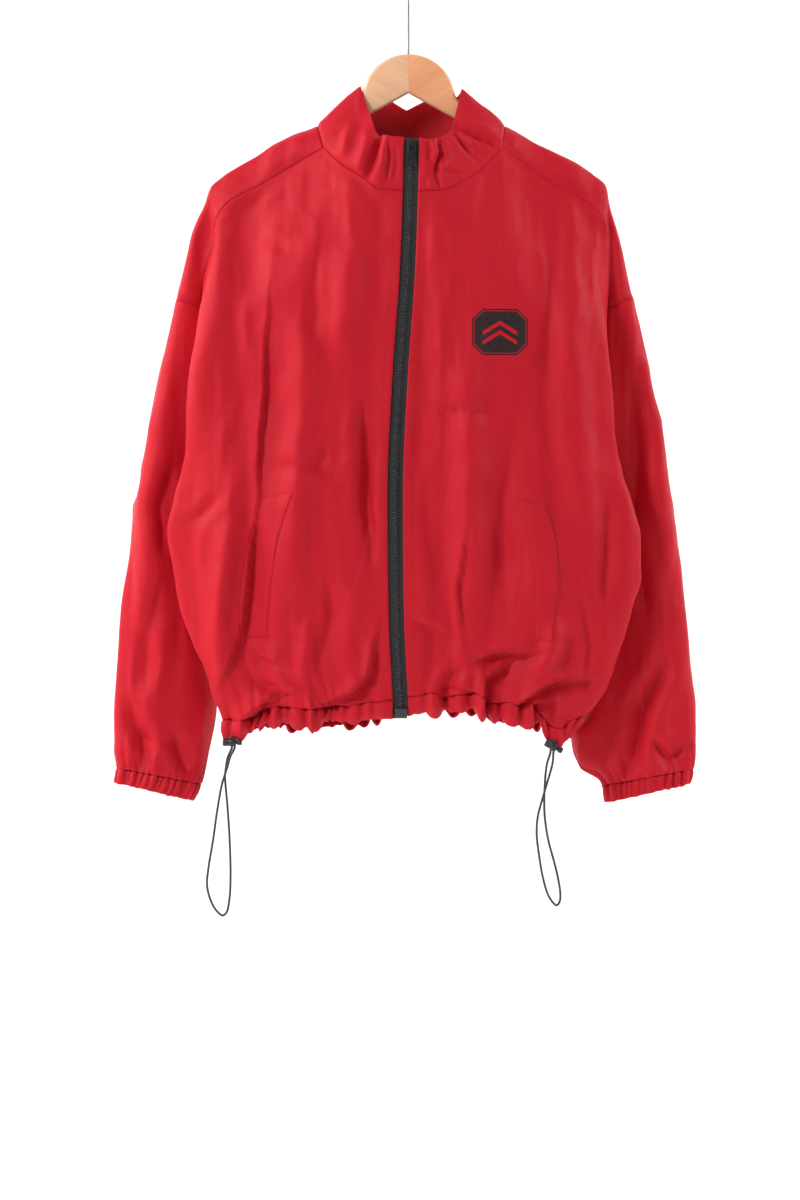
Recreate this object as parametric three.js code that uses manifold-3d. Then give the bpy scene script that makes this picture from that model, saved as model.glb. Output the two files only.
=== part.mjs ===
// A zip-front windbreaker with a stand collar, hung on a wooden hanger.
//
// Millimetres, +Z up. X runs to the viewer's right and Y away from the viewer, so the front of the
// garment faces -Y. The origin is the inner top of the wire hook, where a rod or peg carries it all.
//
// Every cloth piece is a wall with an open hollow behind it. Its outer face is a grid of points worked
// out from the tables below: "a" is the distance out from the plane X = 0 towards the left or right
// side, y the depth and z the height. Grids that meet at a seam share their edge points, so the walls
// meet edge to edge, each drawn back by half the seam gap.

import * as THREE from "three";
import { mergeVertices } from "three/addons/utils/BufferGeometryUtils.js";
import Module from "manifold-3d";

const wasm = await Module();
wasm.setup();

// ---------------------------------------------------------------- driving sizes

const GAP = 0.3;                    // between neighbouring pieces
const WALL = { shell: 1.3, collar: 1.8, casing: 2.4, cuff: 2.2, welt: 1.2, tape: 1.0 };

const GRID = {
  neck: 5,                          // cells along half a neckline
  shoulder: 6,                      // cells along the shoulder seam, as far as the panel's folded edge
  turn: 3,                          // cells round the folded edge to the side seam
  armhole: 8,                       // cells down the armhole seam
  side: 8,                          // cells down the side seam
  crown: 8,                         // cells over the shoulder or round the sleeve
};
const ACROSS = GRID.neck + GRID.shoulder + GRID.turn;
const NECK_END = GRID.neck / ACROSS;
const EDGE_AT = (GRID.neck + GRID.shoulder) / ACROSS;
const EDGE_STATION = 3.36;          // place of the folded edge among the stations of the shoulder seam

// How a panel hangs: the share of its half width that stays flat, how far its curves reach, and the
// heights over which its shaped top and its folds settle in.
const DRAPE = {
  flat: 0.62, fall: 0.6, turnReach: 0.35, sideReach: 0.3, backStraight: 0.6,
  topSettle: 150, foldSettle: 60, foldFromZip: 0.12, foldEnd: 2.5,
};
const RIM_PULL = 0.55 * GAP;        // how far a rim draws back from its seam line
const SHARPEST = 4;                 // most that a sharply folded seam's rims draw back, in rim pulls

const ZIP = {
  halfOpening: 8, chain: 5.6, chainThick: 2.2, chainEnd: 1, tapeInner: 1.6, underEdge: 4, behind: 0.5,
};
const BACK_CENTRE_X = -2;
const CORD = { diameter: 2.5, sides: 8, steps: 54 };
const HANGER = {
  thick: 12, bevel: 2.5, topZ: -122, archRadius: 50, archFoot: 8, neckRise: 22, neckReach: 6,
  notchZ: -163.6, underSlope: 0.557, armEnd: 198, tipRound: 9, underCloth: 3.8, mitreGap: 0.3,
  bore: 2.1, boreFoot: 1,
};
const HOOK = { wire: 3.5, sides: 8, radius: 22.25, bend: 10, footZ: -146, steps: 32, tipAngle: 200 };
const SLIDER = {
  width: 9.5, top: -216, bottom: -230, frontThick: 3, plateThick: 1.2, corner: 2.5, bevel: 0.6,
  post: 2.4, postTop: 0.5, postFoot: 5, overlap: 0.4,
};
const BRIDGE = { width: 2.2, halfLength: 3.6, reach: 3.4, bar: 0.9 };
const PULL = {
  axisZ: -221.5, length: 23.7, width: 8.4, thick: 1.4, head: 0.8, corner: 1.6, fromFace: 1.2,
  eye: { half: 2.1, from: 0.8, to: 6.2 },
  slot: { half: 2.5, from: 15.8, to: 22 },
};
const BOX = { width: 13, top: -817.5, bottom: -828, thick: 4, corner: 1.2, bevel: 0.6 };
const LOCK = {
  radius: 4.3, length: 14, plunger: 6.5, plungerRadius: 3.2, bore: 3.5, edge: 0.8, sides: 12,
  neck: 1.5, neckEdge: 0.5,
};

// ---------------------------------------------------------------- tables

/** A table of rows under named columns; column names are split from one string. */
function table(names, rows) {
  const keys = names.split(" ");
  return rows.map((row) => Object.fromEntries(keys.map((key, i) => [key, row[i]])));
}

// Where each row of the shoulder and sleeve runs: from the front seam line, over or round the outer
// line, to the matching back line. "belly" is the depth that the row swells to on either side of its
// seam, "lean" how far out it does so, and "crown" how blunt it is at the outer line.
const ARM = table(
  "seam_left seam_right seam_z front_y back_y front_belly back_belly lean " +
    "outer_left outer_right outer_z outer_y crown",
  [
    [90, 99, -223, -27, 22, -24, 19, 0.4, 97, 103, -198.6, 0, 9],           // 0 neck
    [120, 124, -240.5, -21, 20, -19, 18, 0.4, 128, 128, -212, 0, 9],
    [157, 157, -262, -18, 18, -16, 16, 0.4, 162, 162, -230, 0, 9],
    [192, 191, -281, -17, 17, -14, 14, 0.4, 196, 196, -250.2, 0, 9],
    [206, 209, -302, -15, 15, -9, 9, 0.4, 210, 210, -262.7, 0, 10],         // 4 corner of the shoulder
    [208, 212, -325, -12, 12, -5, 5, 0.4, 217, 214, -281, 0, 13],
    [215, 214, -347, -9, 10, -4, 6, 0.4, 229, 222.5, -309, 0, 16],
    [220, 214.5, -368, -7, 9, -8, 12, 0.35, 238, 232, -343, 1, 18],
    [221, 213, -391, -6, 9, -12, 18, 0.3, 247.5, 240.5, -382, 2, 20],       // 8 armhole seam
    [219, 211, -430, -5, 9, -14, 26, 0.3, 258, 252, -430, 4, 22],
    [217, 209, -480, -4, 9, -13, 34, 0.35, 267.5, 262, -480, 6, 24],
    [215, 207, -530, -3, 9, -11, 40, 0.4, 276, 270.5, -530, 8, 26],
    [213, 206, -565, 3, 3, -10, 46, 0.45, 282, 276, -565, 9, 28],           // 12 underarm
    [211, 204, -600, 18, 18, -14, 50, 0.4, 289, 281.5, -600, 10, 29],
    [208, 199, -640, 32, 32, -22, 52, 0.3, 296, 286.5, -640, 10, 30],
    [205, 191, -700, 38, 38, -20, 52, 0.25, 306.5, 294, -700, 12, 30],
    [203, 184, -760, 36, 36, -18, 50, 0.2, 311, 300.5, -760, 12, 28],
    [205, 180, -820, 30, 30, -18, 46, 0.15, 314.5, 307, -820, 10, 26],
    [212, 187, -862, 22, 22, -16, 40, 0.1, 314.5, 307, -858, 8, 24],
    [219, 204, -900, 12, 12, -14, 32, 0.08, 311, 303, -882, 6, 20],         // 19 cuff seam
    [227, 207, -918, 10, 10, -14, 30, 0.06, 313, 300.5, -897, 5, 19],       // 20 cuff edge
  ],
);
const STATION = { neck: 0, corner: 4, armhole: 8, underarm: 12, cuff: 19, cuffEdge: 20 };

// The body by height. "edge" is where a panel folds back at the side and "side" the side seam below
// the underarm. The back panel folds less, at back_edge.
const BODY = table(
  "z edge_left edge_right edge_y side_left side_right side_y front_y back_y back_edge back_edge_y",
  [
    [-225, 204, 208, -22, 0, 0, 0, -52, 40, 200, 20],
    [-302, 203.5, 208, -27, 0, 0, 0, -55, 44, 202, 23],
    [-347, 206, 210, -31, 0, 0, 0, -58, 47, 204, 26],
    [-391, 213.5, 211, -34, 0, 0, 0, -60, 49, 206, 29],
    [-430, 220.5, 213, -36, 0, 0, 0, -61, 51, 205, 30],
    [-480, 227.5, 217.5, -37, 0, 0, 0, -62, 52, 203, 30],
    [-530, 235.5, 222, -37, 0, 0, 0, -63, 53, 200, 29],
    [-565, 242, 227.5, -36, 213, 206, 3, -64, 54, 196, 28],
    [-600, 249.5, 237, -35, 220, 208, -2, -65, 54, 193, 26],
    [-638, 257, 247, -34, 225, 212, -6, -66, 55, 190, 24],
    [-680, 251, 247.5, -34, 224, 214, -10, -67, 56, 184, 22],
    [-715, 243, 238, -34, 216, 208, -12, -67, 57, 177, 22],
    [-755, 228.5, 226, -33, 206, 200, -12, -66, 57, 169, 25],
    [-798, 208, 207, -31, 196, 190, -8, -63, 54, 163, 28],
    [-832, 194, 189, -27, 186, 181, -4, -57, 49, 158, 29],
  ],
);

// The front neckline from the zip edge to the forward shoulder seam.
const NECKLINE = table("left left_z right right_z y", [
  [6, -270.5, 10, -270.5, -52],
  [29.4, -268.3, 33, -270, -52],
  [50.4, -254.5, 54, -262.4, -47],
  [72.6, -240.1, 76, -248, -38],
  [90, -223, 99, -223, -27],
]);

// The back neckline from the shoulder to the centre.
const BACK_NECKLINE = table("left right z y", [
  [90, 99, -223, 22],
  [50, 53, -231, 36],
  [BACK_CENTRE_X * -1, BACK_CENTRE_X, -234, 41],
]);

// The collar's top edge, a row for each collar station from the zip to the centre back. "bulge" is how
// far the band swells out at mid height.
const COLLAR = table("left left_z right right_z y bulge", [
  [4.5, -214.5, 11.5, -215, -50, 0],
  [19, -213, 24, -216.4, -50, 1],
  [32.5, -210.5, 32, -214, -44, 2],
  [38, -199, 45, -206, -32, 4],
  [42, -187, 50, -191, -19, 5],
  [52, -156.5, 57, -160, -1, 4],
  [50, -165, 53, -166, 17, 3],
  [27, -167, 29, -167, 38, 2],
  [BACK_CENTRE_X * -1, -179, BACK_CENTRE_X, -179, 44, 1],
]);
const COLLAR_STATION = { shoulder: 4, yoke: 6, back: 8 };
const COLLAR_ROWS = 3;

// Bottom of the hem casing across half a front, from the zip (u = 0) to the side seam (u = 1).
const HEM_EDGE = table("u left right", [
  [0, -829, -826],
  [0.14, -832, -823],
  [0.25, -833, -821],
  [0.31, -836, -830.5],
  [0.41, -839, -834],
  [0.5, -836.5, -834],
  [0.57, -840, -850],
  [0.64, -847.5, -861],
  [0.71, -851, -849],
  [0.79, -851, -845],
  [1, -846, -846],
]);
const HEM = { height: 21, backZ: -838, tuck: 3, swell: 1.5, sideDepth: 10 }; // less depth at its sides

// The largest folds: soft ridges (depth > 0) and troughs (depth < 0) on a panel, each along a straight
// run from its top to its foot.
const FOLDS = table("panel top_a top_z foot_a foot_z width depth", [
  ["front_left", 144, -385, 155, -520, 13, -4],
  ["front_left", 158, -560, 190, -775, 13, -5],
  ["front_left", 110, -450, 112, -790, 22, 4],
  ["front_left", 43, -430, 43, -610, 13, -3],
  ["front_left", 66, -690, 100, -815, 13, -4],
  ["front_right", 60, -430, 70, -740, 22, 4],
  ["front_right", 54, -745, 82, -835, 12, -6],
  ["front_right", 118, -330, 100, -600, 20, -3],
  ["front_right", 170, -400, 178, -700, 24, 4],
  ["front_right", 140, -760, 160, -840, 13, -4],
  ["back_left", 60, -330, 70, -780, 26, 4],
  ["back_left", 120, -380, 118, -790, 22, -4],
  ["back_right", 30, -420, 40, -800, 24, -4],
  ["back_right", 96, -340, 104, -760, 26, 4],
  ["back_right", 150, -560, 138, -820, 18, -4],
]);

// ---------------------------------------------------------------- reading the tables

/** Slopes of a monotone cubic through the given values, so a smooth line never overshoots its rows. */
function monotoneSlopes(xs, ys) {
  const secants = xs.slice(1).map((x, i) => (ys[i + 1] - ys[i]) / (x - xs[i]));
  return xs.map((x, i) => {
    if (i === 0) return secants[0];
    if (i === xs.length - 1) return secants[i - 1];
    const [before, after] = [secants[i - 1], secants[i]];
    return before * after <= 0 ? 0 : (2 * before * after) / (before + after);
  });
}

/** A smooth function through a table's column; rows lie at their index, or at the column "at". */
function reader(rows, column, at = null) {
  const sign = at && rows[0][at] > rows[1][at] ? -1 : 1;
  const xs = rows.map((row, i) => (at ? sign * row[at] : i));
  const ys = rows.map((row) => row[column]);
  const slopes = monotoneSlopes(xs, ys);
  return (value) => {
    const x = THREE.MathUtils.clamp(sign * value, xs[0], xs[xs.length - 1]);
    let i = 0;
    while (i < xs.length - 2 && x > xs[i + 1]) i += 1;
    const width = xs[i + 1] - xs[i];
    const t = (x - xs[i]) / width;
    const [t2, t3] = [t * t, t * t * t];
    return (2 * t3 - 3 * t2 + 1) * ys[i] + (t3 - 2 * t2 + t) * width * slopes[i] +
      (3 * t2 - 2 * t3) * ys[i + 1] + (t3 - t2) * width * slopes[i + 1];
  };
}

/** All of a table's columns as smooth functions. */
function readers(rows, at = null) {
  return Object.fromEntries(Object.keys(rows[0]).map((key) => [key, reader(rows, key, at)]));
}

const arm = readers(ARM);
const body = readers(BODY, "z");
const neckline = readers(NECKLINE);
const backNeckline = readers(BACK_NECKLINE);
const collarTop = readers(COLLAR);
const hemEdge = readers(HEM_EDGE, "u");

/** Centreline of the zip, which sways a little from top to bottom. */
const zipX = reader(
  table("z x", [[-214, 3.5], [-350, -1], [-470, -9], [-590, -14], [-710, -13], [-829, -7.5]]),
  "x",
  "z",
);

// ---------------------------------------------------------------- curves

const SIDES = { left: -1, right: 1 };
const point = (a, y, z) => new THREE.Vector3(a, y, z);

/** Point of a cubic from p0 to p3, with handles p1 and p2, at a fraction of its length. */
function cubicAtLength(p0, p1, p2, p3, fraction) {
  const curve = new THREE.CubicBezierCurve3(p0, p1, p2, p3);
  curve.arcLengthDivisions = 40;
  return curve.getPointAt(THREE.MathUtils.clamp(fraction, 0, 1));
}

/** Seam point of an arm row, on the front or the back. */
function seamPoint(side, face, station) {
  return point(arm[`seam_${side}`](station), arm[`${face}_y`](station), arm.seam_z(station));
}

/** Half of an arm row, from its seam (t = 0) to the outer line (t = 1), on the front or the back. */
function armPoint(side, face, station, t) {
  const start = seamPoint(side, face, station);
  const end = point(arm[`outer_${side}`](station), arm.outer_y(station), arm.outer_z(station));
  const lean = arm.lean(station);
  const out = face === "front" ? -1 : 1;
  const first = point(
    start.x + lean * (end.x - start.x),
    arm[`${face}_belly`](station),
    start.z + lean * (end.z - start.z),
  );
  const second = point(end.x, end.y + out * arm.crown(station), end.z);
  return cubicAtLength(start, first, second, end, t);
}

/** Station of the seam point at share u of a panel's top, most of them before the folded edge. */
function stationOnTop(u) {
  if (u < EDGE_AT) return THREE.MathUtils.mapLinear(u, NECK_END, EDGE_AT, 0, EDGE_STATION);
  return THREE.MathUtils.mapLinear(u, EDGE_AT, 1, EDGE_STATION, STATION.corner);
}

/** Top boundary of a panel across u, from its centre line over the neckline to the shoulder corner. */
function panelTop(side, face, u) {
  if (u <= NECK_END) {
    const t = u / NECK_END;
    if (face === "front") {
      const at = t * (NECKLINE.length - 1);
      return point(neckline[side](at), neckline.y(at), neckline[`${side}_z`](at));
    }
    const at = (1 - t) * (BACK_NECKLINE.length - 1);
    return point(backNeckline[side](at), backNeckline.y(at), backNeckline.z(at));
  }
  return seamPoint(side, face, stationOnTop(u));
}

/** Height of the hem casing's lower edge across u. */
function hemZ(side, face, u) {
  if (face === "front") return hemEdge[side](u);
  return THREE.MathUtils.lerp(HEM.backZ, hemEdge[side](1), u * u);
}

/** The side line of a panel by row share v: down the armhole to the underarm, then the side seam. */
function sidePoint(side, face, v) {
  const armShare = GRID.armhole / (GRID.armhole + GRID.side);
  if (v <= armShare) {
    const station = STATION.corner + ((STATION.underarm - STATION.corner) * v) / armShare;
    return seamPoint(side, face, station);
  }
  const top = arm.seam_z(STATION.underarm);
  const z = THREE.MathUtils.lerp(top, hemZ(side, face, 1) + HEM.height, (v - armShare) / (1 - armShare));
  return point(body[`side_${side}`](z), body.side_y(z), z);
}

/** Level section of a panel at height z and share u, given its side point. */
function sectionPoint(side, face, z, u, sideEnd) {
  const front = face === "front";
  const edgeA = front ? body[`edge_${side}`](z) : body.back_edge(z);
  const edge = point(edgeA, front ? body.edge_y(z) : body.back_edge_y(z), z);
  const centreA = front ? SIDES[side] * zipX(z) + ZIP.halfOpening : SIDES[side] * BACK_CENTRE_X;
  const centre = point(centreA, front ? body.front_y(z) : body.back_y(z), z);
  const along = point(sideEnd.x - edge.x, sideEnd.y - edge.y, 0);
  const reach = along.length();
  const straight = front ? 0 : DRAPE.backStraight; // the back runs more straight on to the side
  const turn = point(straight * along.x, along.y - Math.sign(centre.y) * (1 - straight) * reach, 0);
  turn.normalize();
  const fall = DRAPE.fall * Math.abs(centre.y - edge.y);
  if (u <= EDGE_AT) {
    const first = point(centre.x + DRAPE.flat * (edge.x - centre.x), centre.y, z);
    const second = edge.clone().addScaledVector(turn, -fall);
    return cubicAtLength(centre, first, second, edge, u / EDGE_AT);
  }
  const sideFoot = sideEnd.clone().setZ(z);
  const first = edge.clone().addScaledVector(turn, DRAPE.turnReach * reach);
  const second = sideFoot.clone().addScaledVector(along.normalize(), -DRAPE.sideReach * reach);
  return cubicAtLength(edge, first, second, sideFoot, (u - EDGE_AT) / (1 - EDGE_AT));
}

/** How far the panel's folds push it out at (a, z). */
function foldPush(panel, a, z) {
  let push = 0;
  for (const fold of FOLDS.filter((row) => row.panel === panel)) {
    const run = new THREE.Vector2(fold.foot_a - fold.top_a, fold.foot_z - fold.top_z);
    const from = new THREE.Vector2(a - fold.top_a, z - fold.top_z);
    const t = from.dot(run) / run.lengthSq();
    const off = Math.abs(from.cross(run)) / run.length();
    const beyond = Math.max(0, Math.abs(t - 0.5) - 0.5) * run.length();
    const end = beyond / (DRAPE.foldEnd * fold.width);
    push += fold.depth * Math.exp(-((off / fold.width) ** 2) - end ** 2);
  }
  return push;
}

/** A panel's outer face at share u across and v down. */
function panelPoint(side, face, u, v) {
  const { smoothstep } = THREE.MathUtils;
  const top = panelTop(side, face, u);
  const sideEnd = sidePoint(side, face, v);
  const sideTop = sidePoint(side, face, 0).z;
  const sideFoot = sidePoint(side, face, 1).z;
  const down = (sideTop - sideEnd.z) / (sideTop - sideFoot);
  const z = THREE.MathUtils.lerp(top.z, hemZ(side, face, u) + HEM.height, down);
  const settle = 1 - smoothstep(top.z - z, 0, DRAPE.topSettle);
  const correction = top.clone().sub(sectionPoint(side, face, top.z, u, sidePoint(side, face, 0)));
  const onPanel = sectionPoint(side, face, z, u, sideEnd).addScaledVector(correction, settle);
  const fade = smoothstep(top.z - z, 0, DRAPE.foldSettle) * smoothstep(u, 0, DRAPE.foldFromZip) *
    (1 - smoothstep(u, EDGE_AT, 1));
  const push = foldPush(`${face}_${side}`, onPanel.x, z) * fade;
  onPanel.y += face === "front" ? -push : push;
  onPanel.z = u < 1 ? z : sideEnd.z;
  return onPanel;
}

// ---------------------------------------------------------------- grids

/** A grid of world points: make(i, j) gives each in side coordinates, mirrored where the side is left. */
function grid(rows, columns, side, make) {
  const points = [];
  for (let i = 0; i <= rows; i += 1) {
    const line = [];
    for (let j = 0; j <= columns; j += 1) {
      const p = make(i / rows, j / columns);
      line.push(point(SIDES[side] * p.x, p.y, p.z));
    }
    points.push(line);
  }
  return points;
}

/** The same grid with its faces turned over. */
const turned = (points) => points.map((line) => [...line].reverse());

const panelRows = GRID.armhole + GRID.side;
const panelGrid = (side, face) => grid(panelRows, ACROSS, side, (v, u) => panelPoint(side, face, u, v));

/** Stations of the shoulder and cap rows, matching the top and side columns of the panels. */
function yokeStations() {
  const stations = [];
  for (let j = GRID.neck; j <= ACROSS; j += 1) stations.push(stationOnTop(j / ACROSS));
  const step = (STATION.underarm - STATION.corner) / GRID.armhole;
  for (let s = STATION.corner + step; s <= STATION.armhole + 1e-6; s += step) stations.push(s);
  return stations;
}

/** One shoulder or sleeve row, from the front seam over the outer line to the back seam. */
function armLoopPoint(side, station, w) {
  return w <= 0.5 ? armPoint(side, "front", station, 2 * w) : armPoint(side, "back", station, 2 - 2 * w);
}

/** Rows of the arm at the given stations. */
function armGrid(side, stations) {
  return grid(stations.length - 1, 2 * GRID.crown, side, (v, w) =>
    armLoopPoint(side, stations[Math.round(v * (stations.length - 1))], w));
}

const wholeStations = (from, to) => Array.from({ length: to - from + 1 }, (_, i) => from + i);

const panels = {};
for (const side of ["left", "right"]) {
  for (const face of ["front", "back"]) panels[`${face}_${side}`] = panelGrid(side, face);
}

/** Points along half the neck seam, from the zip to the centre back, each with its collar station. */
function neckLoop(side) {
  const { lerp } = THREE.MathUtils;
  const { shoulder, yoke, back } = COLLAR_STATION;
  const overShoulder = armGrid(side, [0, 1])[0];
  const seam = (name) => panels[name][0].slice(0, GRID.neck);
  const frontStops = seam(`front_${side}`).map((p, j) => ({ p, at: lerp(0, shoulder, j / GRID.neck) }));
  const overStops = overShoulder.map((p, k) => ({ p, at: lerp(shoulder, yoke, k / (2 * GRID.crown)) }));
  const backStops = seam(`back_${side}`).map((p, j) => ({ p, at: lerp(back, yoke, j / GRID.neck) }));
  return [...frontStops, ...overStops, ...backStops.reverse()];
}

/** One line of the collar band, up from a stop on the neck seam. */
function collarColumn({ p, at }, side, rows) {
  const top = point(SIDES[side] * collarTop[side](at), collarTop.y(at), collarTop[`${side}_z`](at));
  const out = point(p.x + top.x, p.y + top.y, 0).normalize();
  return Array.from({ length: rows + 1 }, (_, i) => {
    const t = i / rows;
    return p.clone().lerp(top, t).addScaledVector(out, 4 * t * (1 - t) * collarTop.bulge(at));
  });
}

/** The collar band, from zip edge to zip edge; rows run up. */
function collarGrid() {
  const left = neckLoop("left").map((stop) => collarColumn(stop, "left", COLLAR_ROWS));
  const right = neckLoop("right").map((stop) => collarColumn(stop, "right", COLLAR_ROWS)).reverse();
  const columns = [...left, ...right.slice(1)];
  return Array.from({ length: COLLAR_ROWS + 1 }, (_, i) => columns.map((column) => column[i]));
}

/** The hem casing below the panels' lower rows, from zip edge to zip edge; rows run down. */
function hemGrid() {
  const foot = (name) => panels[name][panelRows];
  const left = [...foot("front_left"), ...[...foot("back_left")].reverse().slice(1)];
  const right = [...foot("front_right"), ...[...foot("back_right")].reverse().slice(1)].reverse();
  const seam = [...left, ...right.slice(1)];
  const atSides = (y) => Math.min(1, Math.abs(y) / HEM.sideDepth);
  const inward = (p, by) => point(p.x, p.y - Math.sign(p.y) * by * atSides(p.y), p.z);
  const middle = seam.map((p) => inward(p, -HEM.swell).setZ(p.z - HEM.height / 2));
  const edge = seam.map((p) => inward(p, HEM.tuck).setZ(p.z - HEM.height));
  return [seam, middle, edge];
}

// ---------------------------------------------------------------- cloth walls

const keyOf = (p) => `${p.x.toFixed(2)},${p.y.toFixed(2)},${p.z.toFixed(2)}`.replace(/-0\.00/g, "0.00");

/** Outward triangles of a grid, without the slivers where two of its points meet. */
function gridTriangles(points) {
  const triangles = [];
  for (let i = 0; i + 1 < points.length; i += 1) {
    for (let j = 0; j + 1 < points[i].length; j += 1) {
      const [a, b, c, d] = [points[i][j], points[i + 1][j], points[i + 1][j + 1], points[i][j + 1]];
      triangles.push([a, b, d], [d, b, c]);
    }
  }
  return triangles.filter((corners) => new Set(corners.map(keyOf)).size === 3);
}

/** Sums each face's normal at the points it touches, over all the pieces that meet there. */
function shareNormals(listOfGrids) {
  const normals = new Map();
  for (const [a, b, c] of listOfGrids.flatMap(gridTriangles)) {
    const normal = b.clone().sub(a).cross(c.clone().sub(a));
    for (const p of [a, b, c]) {
      const key = keyOf(p);
      if (!normals.has(key)) normals.set(key, new THREE.Vector3());
      normals.get(key).add(normal);
    }
  }
  for (const normal of normals.values()) normal.normalize();
  return normals;
}

/** Directed edges that only one triangle of a piece uses, as [from, to, third corner]. */
function rimEdges(triangles) {
  const edges = new Map();
  for (const corners of triangles) {
    for (let i = 0; i < 3; i += 1) {
      const [from, to, third] = [corners[i], corners[(i + 1) % 3], corners[(i + 2) % 3]];
      edges.set(`${keyOf(from)}|${keyOf(to)}`, [from, to, third]);
    }
  }
  return [...edges.values()].filter(([from, to]) => !edges.has(`${keyOf(to)}|${keyOf(from)}`));
}

/** Unit direction in which each rim point of a piece draws back into it. */
function rimDirections(rim) {
  const directions = new Map();
  for (const [from, to, third] of rim) {
    const along = to.clone().sub(from).normalize();
    const inward = third.clone().sub(from);
    inward.addScaledVector(along, -inward.dot(along)).normalize();
    for (const p of [from, to]) {
      const key = keyOf(p);
      if (!directions.has(key)) directions.set(key, new THREE.Vector3());
      directions.get(key).add(inward);
    }
  }
  for (const direction of directions.values()) direction.normalize();
  return directions;
}

/** How far each seam point is drawn back: more where the pieces meet in a sharp fold. */
function seamPulls(listOfGrids) {
  const meeting = new Map();
  const pulls = new Map();
  for (const grids of listOfGrids) {
    for (const [key, direction] of rimDirections(rimEdges(grids.flatMap(gridTriangles)))) {
      const others = meeting.get(key) ?? [];
      const parting = Math.min(2, ...others.map((other) => other.distanceTo(direction)));
      const pull = RIM_PULL * Math.min(SHARPEST, 2 / parting);
      pulls.set(key, Math.max(pull, pulls.get(key) ?? 0));
      meeting.set(key, [...others, direction]);
    }
  }
  return pulls;
}

/** A closed wall under the given grids: outer faces, inner faces "wall" behind them, and rims. */
function wallGeometry(grids, wall, normals, seams = new Map()) {
  const triangles = grids.flatMap(gridTriangles);
  const rim = rimEdges(triangles);
  const directions = rimDirections(rim);
  const outer = (p) => {
    const key = keyOf(p);
    if (!directions.has(key)) return p;
    return p.clone().addScaledVector(directions.get(key), seams.get(key) ?? RIM_PULL);
  };
  const inner = (p) => outer(p).clone().addScaledVector(normals.get(keyOf(p)), -wall);
  const faces = [];
  for (const [a, b, c] of triangles) {
    faces.push(outer(a), outer(b), outer(c), inner(c), inner(b), inner(a));
  }
  for (const [a, b] of rim) {
    // Both pieces at a seam split the rim along the same diagonal.
    if (keyOf(a) < keyOf(b)) faces.push(outer(b), outer(a), inner(a), outer(b), inner(a), inner(b));
    else faces.push(outer(b), outer(a), inner(b), outer(a), inner(a), inner(b));
  }
  const geometry = new THREE.BufferGeometry().setFromPoints(faces);
  return mergeVertices(geometry, 1e-4);
}

// ---------------------------------------------------------------- materials

const finish = (color, roughness, metalness = 0) =>
  new THREE.MeshStandardMaterial({ color, roughness, metalness });

const NYLON = finish(0xb4202b, 0.55);
const BLACK_TAPE = finish(0x1b1b1d, 0.8);
const BLACK_METAL = finish(0x2a2a2d, 0.35, 0.6);
const BLACK_PLASTIC = finish(0x18181a, 0.4);
const BLACK_CORD = finish(0x1d1f20, 0.85);
const PALE_WOOD = finish(0xd9ab78, 0.5);
const WARM_WOOD = finish(0xd88f58, 0.5);
const STEEL = finish(0xb5babd, 0.25, 1);

const model = new THREE.Group();

function add(name, geometry, material) {
  const mesh = new THREE.Mesh(geometry, material);
  mesh.name = name;
  model.add(mesh);
  return mesh;
}

// ---------------------------------------------------------------- the garment

const sleeveStations = wholeStations(STATION.armhole, STATION.cuff);
const cuffStations = [STATION.cuff, (STATION.cuff + STATION.cuffEdge) / 2, STATION.cuffEdge];

/** Every cloth piece with its wall and its outward grids. */
function clothPieces() {
  const backGrids = [panels.back_left, turned(panels.back_right)];
  backGrids.push(turned(armGrid("left", yokeStations())), armGrid("right", yokeStations()));
  const pieces = [
    { name: "front_left", wall: WALL.shell, grids: [turned(panels.front_left)] },
    { name: "front_right", wall: WALL.shell, grids: [panels.front_right] },
    { name: "back", wall: WALL.shell, grids: backGrids },
    { name: "collar", wall: WALL.collar, grids: [collarGrid()] },
    { name: "hem_casing", wall: WALL.casing, grids: [turned(hemGrid())] },
  ];
  for (const side of ["left", "right"]) {
    const outward = (points) => (side === "left" ? turned(points) : points);
    pieces.push(
      { name: `sleeve_${side}`, wall: WALL.shell, grids: [outward(armGrid(side, sleeveStations))] },
      { name: `cuff_${side}`, wall: WALL.cuff, grids: [outward(armGrid(side, cuffStations))] },
    );
  }
  return pieces;
}

const pieces = clothPieces();
const seams = seamPulls(pieces.map((piece) => piece.grids));
const isArm = (piece) => /sleeve|cuff/.test(piece.name);

// Under the arm the body and the sleeve face each other, so each set of walls has its own normals.
for (const group of [pieces.filter((piece) => !isArm(piece)), pieces.filter(isArm)]) {
  const normals = shareNormals(group.flatMap((piece) => piece.grids));
  for (const piece of group) add(piece.name, wallGeometry(piece.grids, piece.wall, normals, seams), NYLON);
}

// ---------------------------------------------------------------- pocket welts

/** A point between a grid's points, at fractional row i and column j. */
function between(points, i, j) {
  const i0 = Math.min(Math.floor(i), points.length - 2);
  const j0 = Math.min(Math.floor(j), points[0].length - 2);
  const upper = points[i0][j0].clone().lerp(points[i0][j0 + 1], j - j0);
  const lower = points[i0 + 1][j0].clone().lerp(points[i0 + 1][j0 + 1], j - j0);
  return upper.lerp(lower, i - i0);
}

// Each welt lies on its front panel between two slanting lines, given in the panel's rows and columns.
const WELTS = table("side top foot inner_top inner_foot outer_top outer_foot", [
  ["left", 9.85, 13.95, 4.75, 6.38, 6.12, 7.88],
  ["right", 10.1, 14.1, 5.3, 6.38, 6.62, 7.12],
]);
const WELT_SHARES = [0, 0.25, 0.5, 0.75, 1];   // shares of a welt's width at its grid's columns

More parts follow.
